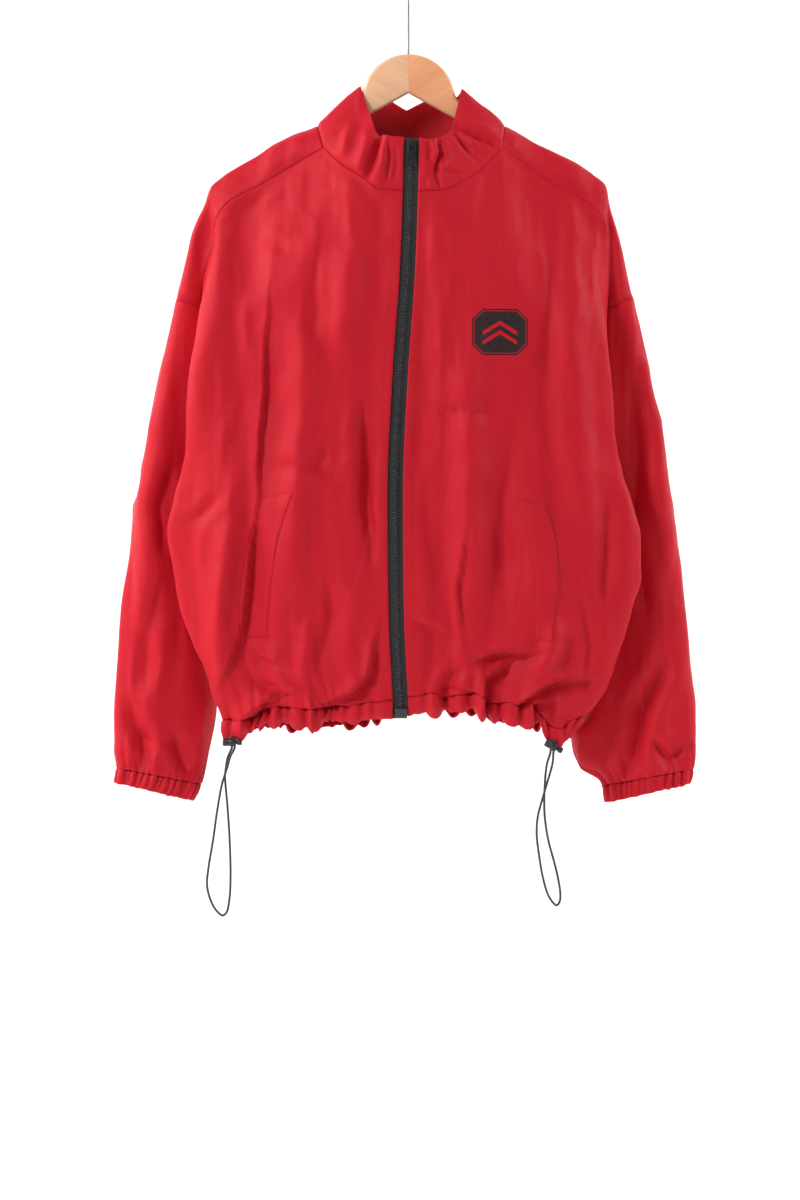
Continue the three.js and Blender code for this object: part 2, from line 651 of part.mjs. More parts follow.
function weltGrid(welt) {
  const panel = panels[`front_${welt.side}`];
  const rows = [welt.top, ...wholeStations(Math.ceil(welt.top), Math.floor(welt.foot)), welt.foot];
  return rows.map((i) => {
    const t = (i - welt.top) / (welt.foot - welt.top);
    const inner = THREE.MathUtils.lerp(welt.inner_top, welt.inner_foot, t);
    const outer = THREE.MathUtils.lerp(welt.outer_top, welt.outer_foot, t);
    const columns = WELT_SHARES.map((share) => THREE.MathUtils.lerp(inner, outer, share));
    return columns.map((j) => between(panel, i, j).add(point(0, -(WALL.welt + 2 * GAP), 0)));
  });
}

for (const welt of WELTS) {
  const grids = [welt.side === "left" ? turned(weltGrid(welt)) : weltGrid(welt)];
  add(`pocket_welt_${welt.side}`, wallGeometry(grids, WALL.welt, shareNormals(grids)), NYLON);
}

// ---------------------------------------------------------------- zip

/** Depth of the garment's outer face along the zip, as stops from the collar's top to the hem. */
function zipStops() {
  const collar = pieces.find((piece) => piece.name === "collar").grids[0];
  const hem = hemGrid();
  const column = (points, last) => points.map((line) => line[last ? line.length - 1 : 0]);
  const left = [...column(collar).reverse(), ...column(panels.front_left).slice(1), ...column(hem).slice(1)];
  const right = [
    ...column(collar, true).reverse(),
    ...column(panels.front_right).slice(1),
    ...column(hem, true).slice(1),
  ];
  return left.map((p, i) => {
    const onCollar = i < collar.length;
    const onHem = i >= left.length - hem.length;
    const wall = onCollar ? WALL.collar : onHem ? WALL.casing : WALL.shell;
    return { left: p, right: right[i], wall };
  });
}

const stops = zipStops();

/** Depth of one tape's outer face at height z. */
function tapeDepth(side, z) {
  let i = 0;
  while (i < stops.length - 2 && z < stops[i + 1][side].z) i += 1;
  const [above, below] = [stops[i], stops[i + 1]];
  const depth = (stop) => stop[side].y + stop.wall + 2 * GAP;
  return THREE.MathUtils.mapLinear(z, above[side].z, below[side].z, depth(above), depth(below));
}

/** Depth of whichever tape lies further forward at height z. */
const tapeFaceY = (z) => Math.min(tapeDepth("left", z), tapeDepth("right", z));

/** One tape: a strip behind the front edge, from the collar's top to the hem. */
function tapeGrid(side) {
  const s = SIDES[side];
  return stops.map((stop) => {
    const z = stop[side].z;
    const y = tapeDepth(side, z);
    const atOffset = (offset) => point(zipX(z) + s * offset, y, z);
    const behind = atOffset(ZIP.halfOpening + ZIP.underEdge);
    behind.y += ZIP.behind;
    return [atOffset(ZIP.tapeInner), atOffset(ZIP.halfOpening), behind];
  });
}

for (const side of ["left", "right"]) {
  const grids = [side === "left" ? turned(tapeGrid(side)) : tapeGrid(side)];
  add(`zip_tape_${side}`, wallGeometry(grids, WALL.tape, shareNormals(grids)), BLACK_TAPE);
}

/** The closed chain, a plain strip on the tapes between the slider and the box. */
function chainGrid() {
  const top = SLIDER.bottom - GAP;
  const foot = BOX.top + GAP;
  const between = stops.flatMap((stop) => [stop.left.z, stop.right.z])
    .filter((z) => z < top - ZIP.chainEnd && z > foot + ZIP.chainEnd);
  const heights = [top, ...new Set(between.sort((a, b) => b - a)), foot];
  return heights.map((z) => [-1, 1].map((s) =>
    point(zipX(z) + (s * ZIP.chain) / 2, tapeFaceY(z) - GAP - ZIP.chainThick, z)));
}

const chain = [chainGrid()];
add("zip_chain", wallGeometry(chain, ZIP.chainThick, shareNormals(chain)), BLACK_TAPE);

const asManifold = (geometry) => {
  const bare = geometry.clone();
  bare.deleteAttribute("normal");
  bare.deleteAttribute("uv");
  const merged = mergeVertices(bare, 1e-4);
  return new wasm.Manifold(new wasm.Mesh({
    numProp: 3,
    vertProperties: new Float32Array(merged.attributes.position.array),
    triVerts: new Uint32Array(merged.index.array),
  }));
};

/** A BufferGeometry from a manifold solid. */
function fromManifold(solid) {
  const mesh = solid.getMesh();
  const geometry = new THREE.BufferGeometry();
  geometry.setAttribute("position", new THREE.BufferAttribute(mesh.vertProperties, 3));
  geometry.setIndex(new THREE.BufferAttribute(mesh.triVerts, 1));
  return geometry;
}

/** A box between two corners. */
function block(x0, x1, y0, y1, z0, z1) {
  const geometry = new THREE.BoxGeometry(x1 - x0, y1 - y0, z1 - z0);
  return geometry.translate((x0 + x1) / 2, (y0 + y1) / 2, (z0 + z1) / 2);
}

/** A plate cut from a shape drawn in X and Z, its back at depth y. */
function plate(shape, y, thick, bevel = 0) {
  const geometry = new THREE.ExtrudeGeometry(shape, {
    depth: thick - 2 * bevel,
    bevelEnabled: bevel > 0,
    bevelSize: bevel,
    bevelOffset: -bevel,
    bevelThickness: bevel,
    bevelSegments: 1,
    curveSegments: 4,
  });
  return geometry.rotateX(Math.PI / 2).translate(0, y - bevel, 0);
}

/** A rectangle with rounded corners, centred across x. */
function roundedShape(halfWidth, z0, z1, radius) {
  const shape = new THREE.Shape();
  shape.moveTo(-halfWidth + radius, z0);
  shape.lineTo(halfWidth - radius, z0);
  shape.absarc(halfWidth - radius, z0 + radius, radius, -Math.PI / 2, 0);
  shape.absarc(halfWidth - radius, z1 - radius, radius, 0, Math.PI / 2);
  shape.absarc(-halfWidth + radius, z1 - radius, radius, Math.PI / 2, Math.PI);
  shape.absarc(-halfWidth + radius, z0 + radius, radius, Math.PI, 1.5 * Math.PI);
  return shape;
}

const sliderX = zipX(PULL.axisZ);
const tapeTopY = Math.min(tapeFaceY(SLIDER.top), tapeFaceY(SLIDER.bottom));
const tapeBackY = Math.max(tapeFaceY(SLIDER.top), tapeFaceY(SLIDER.bottom)) + WALL.tape;
const sliderFaceY = tapeTopY - GAP - SLIDER.frontThick;

/** The slider: a front and a back plate joined by a post between the tapes, and the pull's bridge. */
function sliderSolid() {
  const { width, top, bottom, frontThick, plateThick, corner, bevel, post, overlap } = SLIDER;
  const half = width / 2;
  const outline = roundedShape(half, bottom, top, corner);
  const front = asManifold(plate(outline, sliderFaceY + frontThick, frontThick, bevel));
  const backY = tapeBackY + 2 * GAP;
  const back = asManifold(block(-half, half, backY, backY + plateThick, bottom, top));
  const between = asManifold(block(
    -post / 2, post / 2, sliderFaceY + frontThick - bevel - overlap, backY + overlap,
    top - SLIDER.postFoot, top - SLIDER.postTop,
  ));
  const bridge = asManifold(block(
    -BRIDGE.width / 2, BRIDGE.width / 2, sliderFaceY - BRIDGE.reach, sliderFaceY + overlap,
    PULL.axisZ - BRIDGE.halfLength, PULL.axisZ + BRIDGE.halfLength,
  ));
  const window = asManifold(block(
    -BRIDGE.width, BRIDGE.width, sliderFaceY - BRIDGE.reach + BRIDGE.bar, sliderFaceY,
    PULL.axisZ - BRIDGE.halfLength + BRIDGE.bar, PULL.axisZ + BRIDGE.halfLength - BRIDGE.bar,
  ));
  return front.add(back).add(between).add(bridge.subtract(window)).translate([sliderX, 0, 0]);
}

add("zip_slider", fromManifold(sliderSolid()), BLACK_METAL);

/** The pull tab: a plate with an eye round the bridge and a slot near its foot. */
function pullGeometry() {
  const { axisZ, width, length, head, corner } = PULL;
  const shape = roundedShape(width / 2, axisZ - length, axisZ + head, corner);
  const hole = ({ half, from, to }) => {
    const path = new THREE.Path();
    path.moveTo(-half, axisZ - from);
    path.lineTo(-half, axisZ - to);
    path.lineTo(half, axisZ - to);
    path.lineTo(half, axisZ - from);
    return path;
  };
  shape.holes.push(hole(PULL.eye), hole(PULL.slot));
  const back = sliderFaceY - PULL.fromFace + PULL.thick / 2;
  return plate(shape, back, PULL.thick).translate(sliderX, 0, 0);
}

add("zip_pull", pullGeometry(), BLACK_METAL);

/** The separating box at the foot of the zip. */
function boxGeometry() {
  const middle = zipX((BOX.top + BOX.bottom) / 2);
  const back = Math.min(tapeFaceY(BOX.top), tapeFaceY(BOX.bottom)) - GAP;
  const shape = roundedShape(BOX.width / 2, BOX.bottom, BOX.top, BOX.corner);
  return plate(shape, back, BOX.thick, BOX.bevel).translate(middle, 0, 0);
}

add("zip_box", boxGeometry(), BLACK_METAL);

// ---------------------------------------------------------------- cords and their locks

// Each cord leaves the hem's lower edge through its lock, hangs in one loop and returns beside itself.
// "bore" is the place across of the lock's hole for the two strands.
const CORDS = {
  left: {
    lock: [-186.5, -40.8, -853.5], tilt: 0, bore: -185.5,
    route: table("x y z", [
      [-184, -39.8, -847], [-184, -40.8, -859], [-188.6, -41.6, -869], [-191.4, -42.6, -879],
      [-194.5, -42.8, -888.4], [-197.2, -42.8, -897], [-202.2, -42.8, -924.4], [-206.7, -42.6, -956.2],
      [-211.9, -42.6, -988], [-213.2, -42.6, -1005], [-209.4, -42.2, -1020.6], [-203, -41.6, -1032.1],
      [-196.6, -40.6, -1036.8], [-192.6, -39.6, -1033.6], [-189.4, -39, -1017.7],
      [-188.4, -38.6, -994.4], [-189.4, -38.6, -956.2], [-192, -38.6, -917.8], [-193.9, -38.4, -897],
      [-194.2, -38.4, -888.4], [-193.2, -38.6, -879], [-191.2, -39.6, -869], [-187, -40.8, -859],
      [-187, -39.8, -847],
    ]),
  },
  right: {
    lock: [153.7, -47.4, -858], tilt: 28, bore: 151.7,
    route: table("x y z", [
      [150.2, -46.2, -850.5], [150.2, -47.4, -863], [146.2, -46, -877.3], [144.1, -44.6, -899],
      [143.6, -44.2, -916], [144.1, -44, -931.9], [147.7, -44, -956.2], [154.2, -44, -980.6],
      [158.5, -44.2, -999.1], [160.6, -44.6, -1013.5], [159.8, -45.2, -1022], [156.8, -46, -1025.9],
      [153.2, -46.8, -1023.4], [147.7, -47.4, -1015], [142.1, -48, -996.5], [137.9, -48.2, -972.1],
      [135.5, -48.2, -950.3], [136.7, -48.2, -931.9], [142.1, -48.2, -911.4], [146.8, -48.2, -895.5],
      [152.2, -47.8, -876], [153.2, -47.4, -863], [153.2, -46.2, -850.5],
    ]),
  },
};

/** A flat-sided round section for tubes. */
function ringShape(radius, sides) {
  const shape = new THREE.Shape();
  for (let i = 0; i < sides; i += 1) {
    const angle = (2 * Math.PI * i) / sides;
    const [x, y] = [radius * Math.cos(angle), radius * Math.sin(angle)];
    if (i === 0) shape.moveTo(x, y);
    else shape.lineTo(x, y);
  }
  return shape;
}

/** The barrel lock, lying along X: body, neck and plunger head. */
function barrelGeometry() {
  const { radius, length, plunger, plungerRadius, edge, neck, neckEdge } = LOCK;
  const end = length + plunger;
  const headFoot = length + neck;
  const outline = [
    [0, 0], [radius - edge, 0], [radius, edge], [radius, length - edge], [radius - edge, length],
    [plungerRadius - edge, length], [plungerRadius - edge, headFoot], [plungerRadius, headFoot + neckEdge],
    [plungerRadius, end - edge], [plungerRadius - edge, end], [0, end],
  ];
  const profile = outline.map(([x, y]) => new THREE.Vector2(x, y - end / 2));
  return new THREE.LatheGeometry(profile, LOCK.sides).rotateZ(-Math.PI / 2);
}

/** A cord's lock in place, bored through for the two strands. */
function lockSolid(cord) {
  const [x, y, z] = cord.lock;
  const tilt = THREE.MathUtils.degToRad(cord.tilt);
  const barrel = barrelGeometry().rotateY(tilt).translate(x, y, z);
  const bore = new THREE.CylinderGeometry(LOCK.bore, LOCK.bore, 6 * LOCK.radius, LOCK.sides);
  bore.rotateX(Math.PI / 2).translate(cord.bore, y, z);
  return asManifold(barrel).subtract(asManifold(bore));
}

function cordGeometry(cord) {
  const stops = cord.route.map(({ x, y, z }) => point(x, y, z));
  return new THREE.ExtrudeGeometry(ringShape(CORD.diameter / 2, CORD.sides), {
    steps: CORD.steps,
    extrudePath: new THREE.CatmullRomCurve3(stops, false, "centripetal"),
    bevelEnabled: false,
  });
}

for (const [side, cord] of Object.entries(CORDS)) {
  add(`cord_lock_${side}`, fromManifold(lockSolid(cord)), BLACK_PLASTIC);
  add(`cord_loop_${side}`, cordGeometry(cord), BLACK_CORD);
}

// ---------------------------------------------------------------- hanger

/** Top line of the hanger's arm, just under the cloth, from the neck to where its end rounds off. */
function armTopLine() {
  const line = yokeStations().map((station) => {
    const crest = armPoint("left", "front", station, 1);
    return new THREE.Vector2(crest.x, crest.z - HANGER.underCloth);
  });
  return line.filter((p) => p.x < HANGER.armEnd - HANGER.tipRound / 2);
}

/** Outline of the hanger's right half: arm, rounded end, straight underside and arch. */
function hangerShape() {
  const shape = new THREE.Shape();
  const { archRadius, archFoot, armEnd, tipRound } = HANGER;
  const centreZ = HANGER.topZ - archRadius;
  const underside = (x) => HANGER.notchZ - HANGER.underSlope * x;
  const start = HANGER.mitreGap / 2;
  shape.moveTo(start, underside(start));
  shape.lineTo(armEnd - tipRound, underside(armEnd - tipRound));
  const line = armTopLine().reverse();
  const tipZ = line[0].y - tipRound;
  shape.quadraticCurveTo(armEnd, underside(armEnd - tipRound / 2), armEnd, tipZ);
  shape.quadraticCurveTo(armEnd, tipZ + tipRound / 2, line[0].x, line[0].y);
  for (const p of line.slice(1)) shape.lineTo(p.x, p.y);
  const neck = line[line.length - 1];
  const archEnd = THREE.MathUtils.degToRad(archFoot);
  const archX = archRadius * Math.cos(archEnd);
  shape.quadraticCurveTo(
    archX + HANGER.neckReach, neck.y + HANGER.neckRise, archX, centreZ + archRadius * Math.sin(archEnd),
  );
  shape.absarc(0, centreZ, archRadius, archEnd, Math.acos(start / archRadius), false);
  return shape;
}

/** One half of the hanger, bored at the mitre for the hook's shank. */
function hangerHalf(side) {
  const solid = plate(hangerShape(), HANGER.thick / 2, HANGER.thick, HANGER.bevel);
  const depth = 2 * (HANGER.topZ - HOOK.footZ + HANGER.boreFoot);
  const bore = new THREE.CylinderGeometry(HANGER.bore, HANGER.bore, depth, 2 * HOOK.sides);
  bore.rotateX(Math.PI / 2).translate(0, 0, HOOK.footZ - HANGER.boreFoot + depth / 2);
  const half = asManifold(solid).subtract(asManifold(bore));
  return side === "right" ? half : half.mirror([1, 0, 0]);
}

add("hanger_wood_left", fromManifold(hangerHalf("left")), PALE_WOOD);
add("hanger_wood_right", fromManifold(hangerHalf("right")), WARM_WOOD);

/** The hook's wire: a straight shank, a small bend and the round hook over the rod. */
class HookPath extends THREE.Curve {
  constructor() {
    super();
    const { radius, bend, footZ } = HOOK;
    this.centreZ = HOOK.wire / 2 - radius;
    const rise = Math.sqrt((radius + bend) ** 2 - bend ** 2);
    this.bendZ = this.centreZ - rise;
    this.bendAngle = Math.PI / 2 - Math.atan2(bend, rise);
    this.lengths = [
      this.bendZ - footZ,
      bend * this.bendAngle,
      radius * (THREE.MathUtils.degToRad(HOOK.tipAngle) + this.bendAngle),
    ];
  }

  getPoint(t, target = new THREE.Vector3()) {
    const [shank, turn, round] = this.lengths;
    let run = t * (shank + turn + round);
    if (run <= shank) return target.set(0, 0, HOOK.footZ + run);
    run -= shank;
    if (run <= turn) {
      const angle = Math.PI - run / HOOK.bend;
      const x = HOOK.bend * (1 + Math.cos(angle));
      return target.set(x, 0, this.bendZ + HOOK.bend * Math.sin(angle));
    }
    const angle = (run - turn) / HOOK.radius - this.bendAngle;
    return target.set(HOOK.radius * Math.cos(angle), 0, this.centreZ + HOOK.radius * Math.sin(angle));
  }
}

add("hanger_hook", new THREE.ExtrudeGeometry(ringShape(HOOK.wire / 2, HOOK.sides), {
  steps: HOOK.steps,
  extrudePath: new HookPath(),
  bevelEnabled: false,
}), STEEL);

export default model;
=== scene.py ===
import math

import bpy
import numpy as np
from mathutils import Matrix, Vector


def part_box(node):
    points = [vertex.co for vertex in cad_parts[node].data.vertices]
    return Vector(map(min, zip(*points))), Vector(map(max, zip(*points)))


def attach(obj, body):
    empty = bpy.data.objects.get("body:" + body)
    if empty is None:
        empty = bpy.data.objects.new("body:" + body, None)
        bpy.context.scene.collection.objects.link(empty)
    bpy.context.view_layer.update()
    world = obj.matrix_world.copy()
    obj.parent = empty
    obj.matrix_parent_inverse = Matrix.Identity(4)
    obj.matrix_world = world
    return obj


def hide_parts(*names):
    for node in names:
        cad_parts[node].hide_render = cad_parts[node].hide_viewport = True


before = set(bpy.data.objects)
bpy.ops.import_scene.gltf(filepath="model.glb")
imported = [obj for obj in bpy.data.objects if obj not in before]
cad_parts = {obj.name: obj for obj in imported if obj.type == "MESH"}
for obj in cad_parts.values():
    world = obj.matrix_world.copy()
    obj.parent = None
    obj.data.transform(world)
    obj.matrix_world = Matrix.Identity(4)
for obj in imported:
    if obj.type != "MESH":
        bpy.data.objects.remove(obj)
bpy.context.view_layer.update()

# Lengths below are in millimetres and become metres where a mesh is made. The frame is the part's:
# +X to the viewer's right, +Y from the front to the back, +Z up. "a" is the distance out from X = 0
# towards the left or the right side.

MM = 0.001
JACKET, PULL = "jacket", "pull"
SIGN = {"left": -1.0, "right": 1.0}
PANELS = ("front_left", "back_left", "back_right", "front_right")


# ---------------------------------------------------------------- helpers for numbers

def table(names, rows):
    """Named columns from rows of numbers."""
    columns = np.array(rows, float).T
    return dict(zip(names.split(), columns))


def smoothstep(x, low, high):
    """0 up to low, 1 from high on, and smooth between."""
    t = np.clip((x - low) / (high - low), 0, 1)
    return t * t * (3 - 2 * t)


def reader(xs, ys):
    """A monotone cubic through the rows of a table."""
    xs, ys = np.asarray(xs, float), np.asarray(ys, float)
    if xs[0] > xs[-1]:
        xs, ys = xs[::-1], ys[::-1]
    secant = np.diff(ys) / np.diff(xs)
    slope = np.concatenate([secant[:1], np.zeros(len(xs) - 2), secant[-1:]])
    before, after = secant[:-1], secant[1:]
    total = np.where(before + after == 0, 1, before + after)
    slope[1:-1] = np.where(before * after <= 0, 0, 2 * before * after / total)

    def read(x):
        x = np.clip(x, xs[0], xs[-1])
        i = np.clip(np.searchsorted(xs, x, side="right") - 1, 0, len(xs) - 2)
        width = xs[i + 1] - xs[i]
        t = (x - xs[i]) / width
        t2, t3 = t * t, t * t * t
        ends = (2 * t3 - 3 * t2 + 1) * ys[i] + (3 * t2 - 2 * t3) * ys[i + 1]
        return ends + width * ((t3 - 2 * t2 + t) * slope[i] + (t3 - t2) * slope[i + 1])

    return read


def readers(columns, at=None):
    """A reader for each column of a table, by its row number or by the column named."""
    xs = columns[at] if at else np.arange(len(next(iter(columns.values()))))
    return {name: reader(xs, ys) for name, ys in columns.items()}


def stack(x, y, z):
    return np.stack(np.broadcast_arrays(x, y, z), axis=-1).astype(float)


def unit(v):
    return v / np.maximum(np.linalg.norm(v, axis=-1, keepdims=True), 1e-9)


def run_along(points, axis=0):
    """Distance run along the rows or the columns of a grid of points, from 0."""
    step = np.linalg.norm(np.diff(points, axis=axis), axis=-1)
    start = 0 * np.take(step, [0], axis=axis)
    return np.concatenate([start, np.cumsum(step, axis)], axis=axis)


def lattice(ix, iy, iz, seed):
    """A fixed number from 0 to 1 for each cell corner."""
    h = (ix * 374761393 + iy * 668265263 + iz * 1442695041 + seed * 1274126177) & 0xFFFFFFFF
    h = ((h ^ (h >> 13)) * 1103515245) & 0xFFFFFFFF
    h = ((h ^ (h >> 15)) * 668265263) & 0xFFFFFFFF
    return ((h ^ (h >> 16)) & 0xFFFF) / 65535.0


def noise(points, size, seed):
    """Smooth noise from -1 to 1 at points, with cells of the given size in each direction."""
    q = np.asarray(points, float) / np.asarray(size, float)
    cell = np.floor(q).astype(np.int64)
    t = q - cell
    t = t * t * t * (t * (6 * t - 15) + 10)
    value = np.zeros(q.shape[:-1])
    for dx in (0, 1):
        for dy in (0, 1):
            for dz in (0, 1):
                corner = lattice(cell[..., 0] + dx, cell[..., 1] + dy, cell[..., 2] + dz, seed)
                weight = (t[..., 0] if dx else 1 - t[..., 0])
                weight = weight * (t[..., 1] if dy else 1 - t[..., 1])
                value += corner * weight * (t[..., 2] if dz else 1 - t[..., 2])
    return 2 * value - 1


def wave(s, h, length, seed):
    """Noise along s with cells of that length, which drifts slowly with h."""
    return noise(stack(s, h, 0 * s), (length, 6 * length, 1), seed)


# ---------------------------------------------------------------- camera

def make_camera():
    """Level, with a long lens, as far off as shows the frame from a little above the hanger's wood."""
    view_height, distance, sensor = 1.272, 7.0, 36.0
    left_of_hook, before_hook, below_hook = 0.009, 0.03, 0.703
    data = bpy.data.cameras.new("camera")
    data.sensor_fit = "VERTICAL"
    data.sensor_height = sensor
    data.lens = sensor * distance / view_height
    data.clip_end = 60
    camera = linked("camera", data)
    camera.location = (-left_of_hook, -before_hook - distance, -below_hook)
    camera.rotation_euler = (math.radians(90), 0, 0)
    bpy.context.scene.camera = camera


# ---------------------------------------------------------------- materials

class Nodes:
    """A short way to write a material's nodes."""

    def __init__(self, name):
        self.material = bpy.data.materials.new(name)
        self.material.use_nodes = True
        self.tree = self.material.node_tree
        self.shader = self.tree.nodes["Principled BSDF"]

    def plug(self, socket, value):
        if isinstance(value, bpy.types.NodeSocket):
            self.tree.links.new(value, socket)
        elif isinstance(value, tuple) and len(value) == 3 and len(socket.default_value) == 4:
            socket.default_value = (*value, 1)
        else:
            socket.default_value = value

    def coords(self, kind="Object", uv_map=None):
        if uv_map:
            node = self.tree.nodes.new("ShaderNodeUVMap")
            node.uv_map = uv_map
            return node.outputs["UV"]
        return self.tree.nodes.new("ShaderNodeTexCoord").outputs[kind]

    def scaled(self, vector, scale, offset=(0, 0, 0)):
        node = self.tree.nodes.new("ShaderNodeMapping")
        self.plug(node.inputs["Vector"], vector)
        node.inputs["Scale"].default_value = scale
        node.inputs["Location"].default_value = offset
        return node.outputs["Vector"]

    def noise(self, vector, scale, detail=2.0, roughness=0.5):
        node = self.tree.nodes.new("ShaderNodeTexNoise")
        self.plug(node.inputs["Vector"], vector)
        node.inputs["Scale"].default_value = scale
        node.inputs["Detail"].default_value = detail
        node.inputs["Roughness"].default_value = roughness
        return node.outputs["Fac"]

    def wave(self, vector, scale, direction="X", distortion=0.0):
        node = self.tree.nodes.new("ShaderNodeTexWave")
        node.bands_direction = direction
        self.plug(node.inputs["Vector"], vector)
        node.inputs["Scale"].default_value = scale
        node.inputs["Distortion"].default_value = distortion
        node.inputs["Detail"].default_value = 1.0
        return node.outputs["Fac"]

    def math(self, operation, *values, clamp=False):
        node = self.tree.nodes.new("ShaderNodeMath")
        node.operation = operation
        node.use_clamp = clamp
        for socket, value in zip(node.inputs, values):
            self.plug(socket, value)
        return node.outputs[0]

    def ramp(self, value, low, high, out_low=0.0, out_high=1.0):
        node = self.tree.nodes.new("ShaderNodeMapRange")
        limits = {"From Min": low, "From Max": high, "To Min": out_low, "To Max": out_high}
        for name, number in limits.items():
            node.inputs[name].default_value = number
        self.plug(node.inputs["Value"], value)
        return node.outputs["Result"]

    def mix(self, share, first, second):
        node = self.tree.nodes.new("ShaderNodeMix")
        node.data_type = "RGBA"
        self.plug(node.inputs["Factor"], share)
        self.plug(node.inputs["A"], first)
        self.plug(node.inputs["B"], second)
        return node.outputs["Result"]

    def split(self, vector):
        node = self.tree.nodes.new("ShaderNodeSeparateXYZ")
        self.plug(node.inputs[0], vector)
        return node.outputs[0], node.outputs[1], node.outputs[2]

    def bump(self, height, distance, strength=1.0, after=None):
        node = self.tree.nodes.new("ShaderNodeBump")
        node.inputs["Strength"].default_value = strength
        node.inputs["Distance"].default_value = distance
        self.plug(node.inputs["Height"], height)
        if after is not None:
            self.plug(node.inputs["Normal"], after)
        return node.outputs["Normal"]

    def set(self, **values):
        for name, value in values.items():
            self.plug(self.shader.inputs[name.replace("_", " ")], value)
        return self.material


# The chest print, in metres.
BADGE = {
    "centre_x": 0.0965, "centre_z": -0.420, "half_width": 0.0295, "half_height": 0.0245,
    "corner": 0.011, "corner_slope": 0.71, "soft": 0.00015, "inset": 0.0021,
    "line_outer": 0.00048, "line_inner": 0.0003,
    "chevron_slope": 0.62, "chevron_middles": (0.0098, -0.0002), "chevron_outer": 0.0024,
    "chevron_inner": 0.0021, "chevron_end": 0.0182, "chevron_full": 0.0179,
}


def print_mask(nodes):
    """The chest print as two masks: a badge with cut corners; its inset line and two chevrons."""
    b = BADGE
    x, _, z = nodes.split(nodes.coords("Object"))
    dx = nodes.math("ABSOLUTE", nodes.math("SUBTRACT", x, b["centre_x"]))
    dz = nodes.math("SUBTRACT", z, b["centre_z"])
    up = nodes.math("ABSOLUTE", dz)
    sides = nodes.math("SUBTRACT", dx, b["half_width"])
    ends = nodes.math("SUBTRACT", up, b["half_height"])
    cut_at = b["half_width"] + b["half_height"] - b["corner"]
    cut = nodes.math("SUBTRACT", nodes.math("ADD", dx, up), cut_at)
    cut = nodes.math("MULTIPLY", cut, b["corner_slope"])
    edge = nodes.math("MAXIMUM", nodes.math("MAXIMUM", sides, ends), cut)
    badge = nodes.ramp(edge, b["soft"], -b["soft"])
    inset = nodes.math("ABSOLUTE", nodes.math("ADD", edge, b["inset"]))
    line = nodes.ramp(inset, b["line_outer"], b["line_inner"])
    slant = nodes.math("ADD", dz, nodes.math("MULTIPLY", dx, b["chevron_slope"]))
    bands = []
    for middle in b["chevron_middles"]:
        off = nodes.math("ABSOLUTE", nodes.math("SUBTRACT", slant, middle))
        bands.append(nodes.ramp(off, b["chevron_outer"], b["chevron_inner"]))
    bands = nodes.math("MAXIMUM", *bands)
    bands = nodes.math("MULTIPLY", bands, nodes.ramp(dx, b["chevron_end"], b["chevron_full"]))
    return badge, nodes.math("MAXIMUM", line, bands)


DARK_RED, LIGHT_RED = (0.470, 0.0050, 0.0150), (0.600, 0.0105, 0.0240)
DARK_INK, LIGHT_INK = (0.012, 0.010, 0.011), (0.055, 0.030, 0.033)


def nylon(name, badge=False):
    """Crisp red nylon: slubby threads both ways, a fine weave and a soft sheen."""
    nodes = Nodes(name)
    uv = nodes.coords(uv_map="weave")
    across = nodes.noise(nodes.scaled(uv, (60, 1900, 1)), 1.0, 3.0, 0.6)
    along = nodes.noise(nodes.scaled(uv, (1500, 45, 1), (3, 7, 0)), 1.0, 3.0, 0.6)
    slub = nodes.math("ADD", nodes.math("MULTIPLY", across, 0.6), nodes.math("MULTIPLY", along, 0.4))
    cloud = nodes.noise(nodes.coords("Object"), 9.0, 3.0, 0.55)
    threads = nodes.ramp(slub, 0.32, 0.68, 0.12, 0.88)
    shade = nodes.math("ADD", threads, nodes.ramp(cloud, 0.3, 0.7, -0.1, 0.1))
    colour = nodes.mix(nodes.math("ADD", shade, 0.06, clamp=True), DARK_RED, LIGHT_RED)
    if badge:
        mask, lines = print_mask(nodes)
        crackle = nodes.noise(nodes.coords("Object"), 420.0, 4.0, 0.7)
        ink = nodes.mix(nodes.ramp(crackle, 0.35, 0.75), DARK_INK, LIGHT_INK)
        painted = nodes.math("MULTIPLY", mask, nodes.math("SUBTRACT", 1.0, lines))
        colour = nodes.mix(painted, colour, ink)
    weave = nodes.math("ADD", nodes.wave(uv, 900, "X"), nodes.wave(uv, 900, "Y"))
    normal = nodes.bump(weave, 0.00004, 0.35)
    normal = nodes.bump(slub, 0.00018, 0.5, normal)
    crumple = nodes.noise(nodes.scaled(nodes.coords("Object"), (1, 1, 0.6)), 55.0, 5.0, 0.62)
    normal = nodes.bump(crumple, 0.0007, 0.35, normal)
    nodes.set(Base_Color=colour, Roughness=nodes.ramp(slub, 0.3, 0.7, 0.62, 0.5), Normal=normal)
    nodes.set(Sheen_Weight=0.08, Sheen_Roughness=0.4, Sheen_Tint=(1.0, 0.35, 0.38))
    return nodes.set(Specular_IOR_Level=0.22, Specular_Tint=(1.0, 0.72, 0.72))


def stitch_thread():
    """Red twisted thread."""
    nodes = Nodes("stitch_thread")
    twist = nodes.wave(nodes.coords("Object"), 700, "DIAGONAL")
    colour = nodes.mix(twist, (0.36, 0.005, 0.013), (0.52, 0.010, 0.021))
    return nodes.set(Base_Color=colour, Roughness=0.6, Normal=nodes.bump(twist, 0.0001, 0.5))


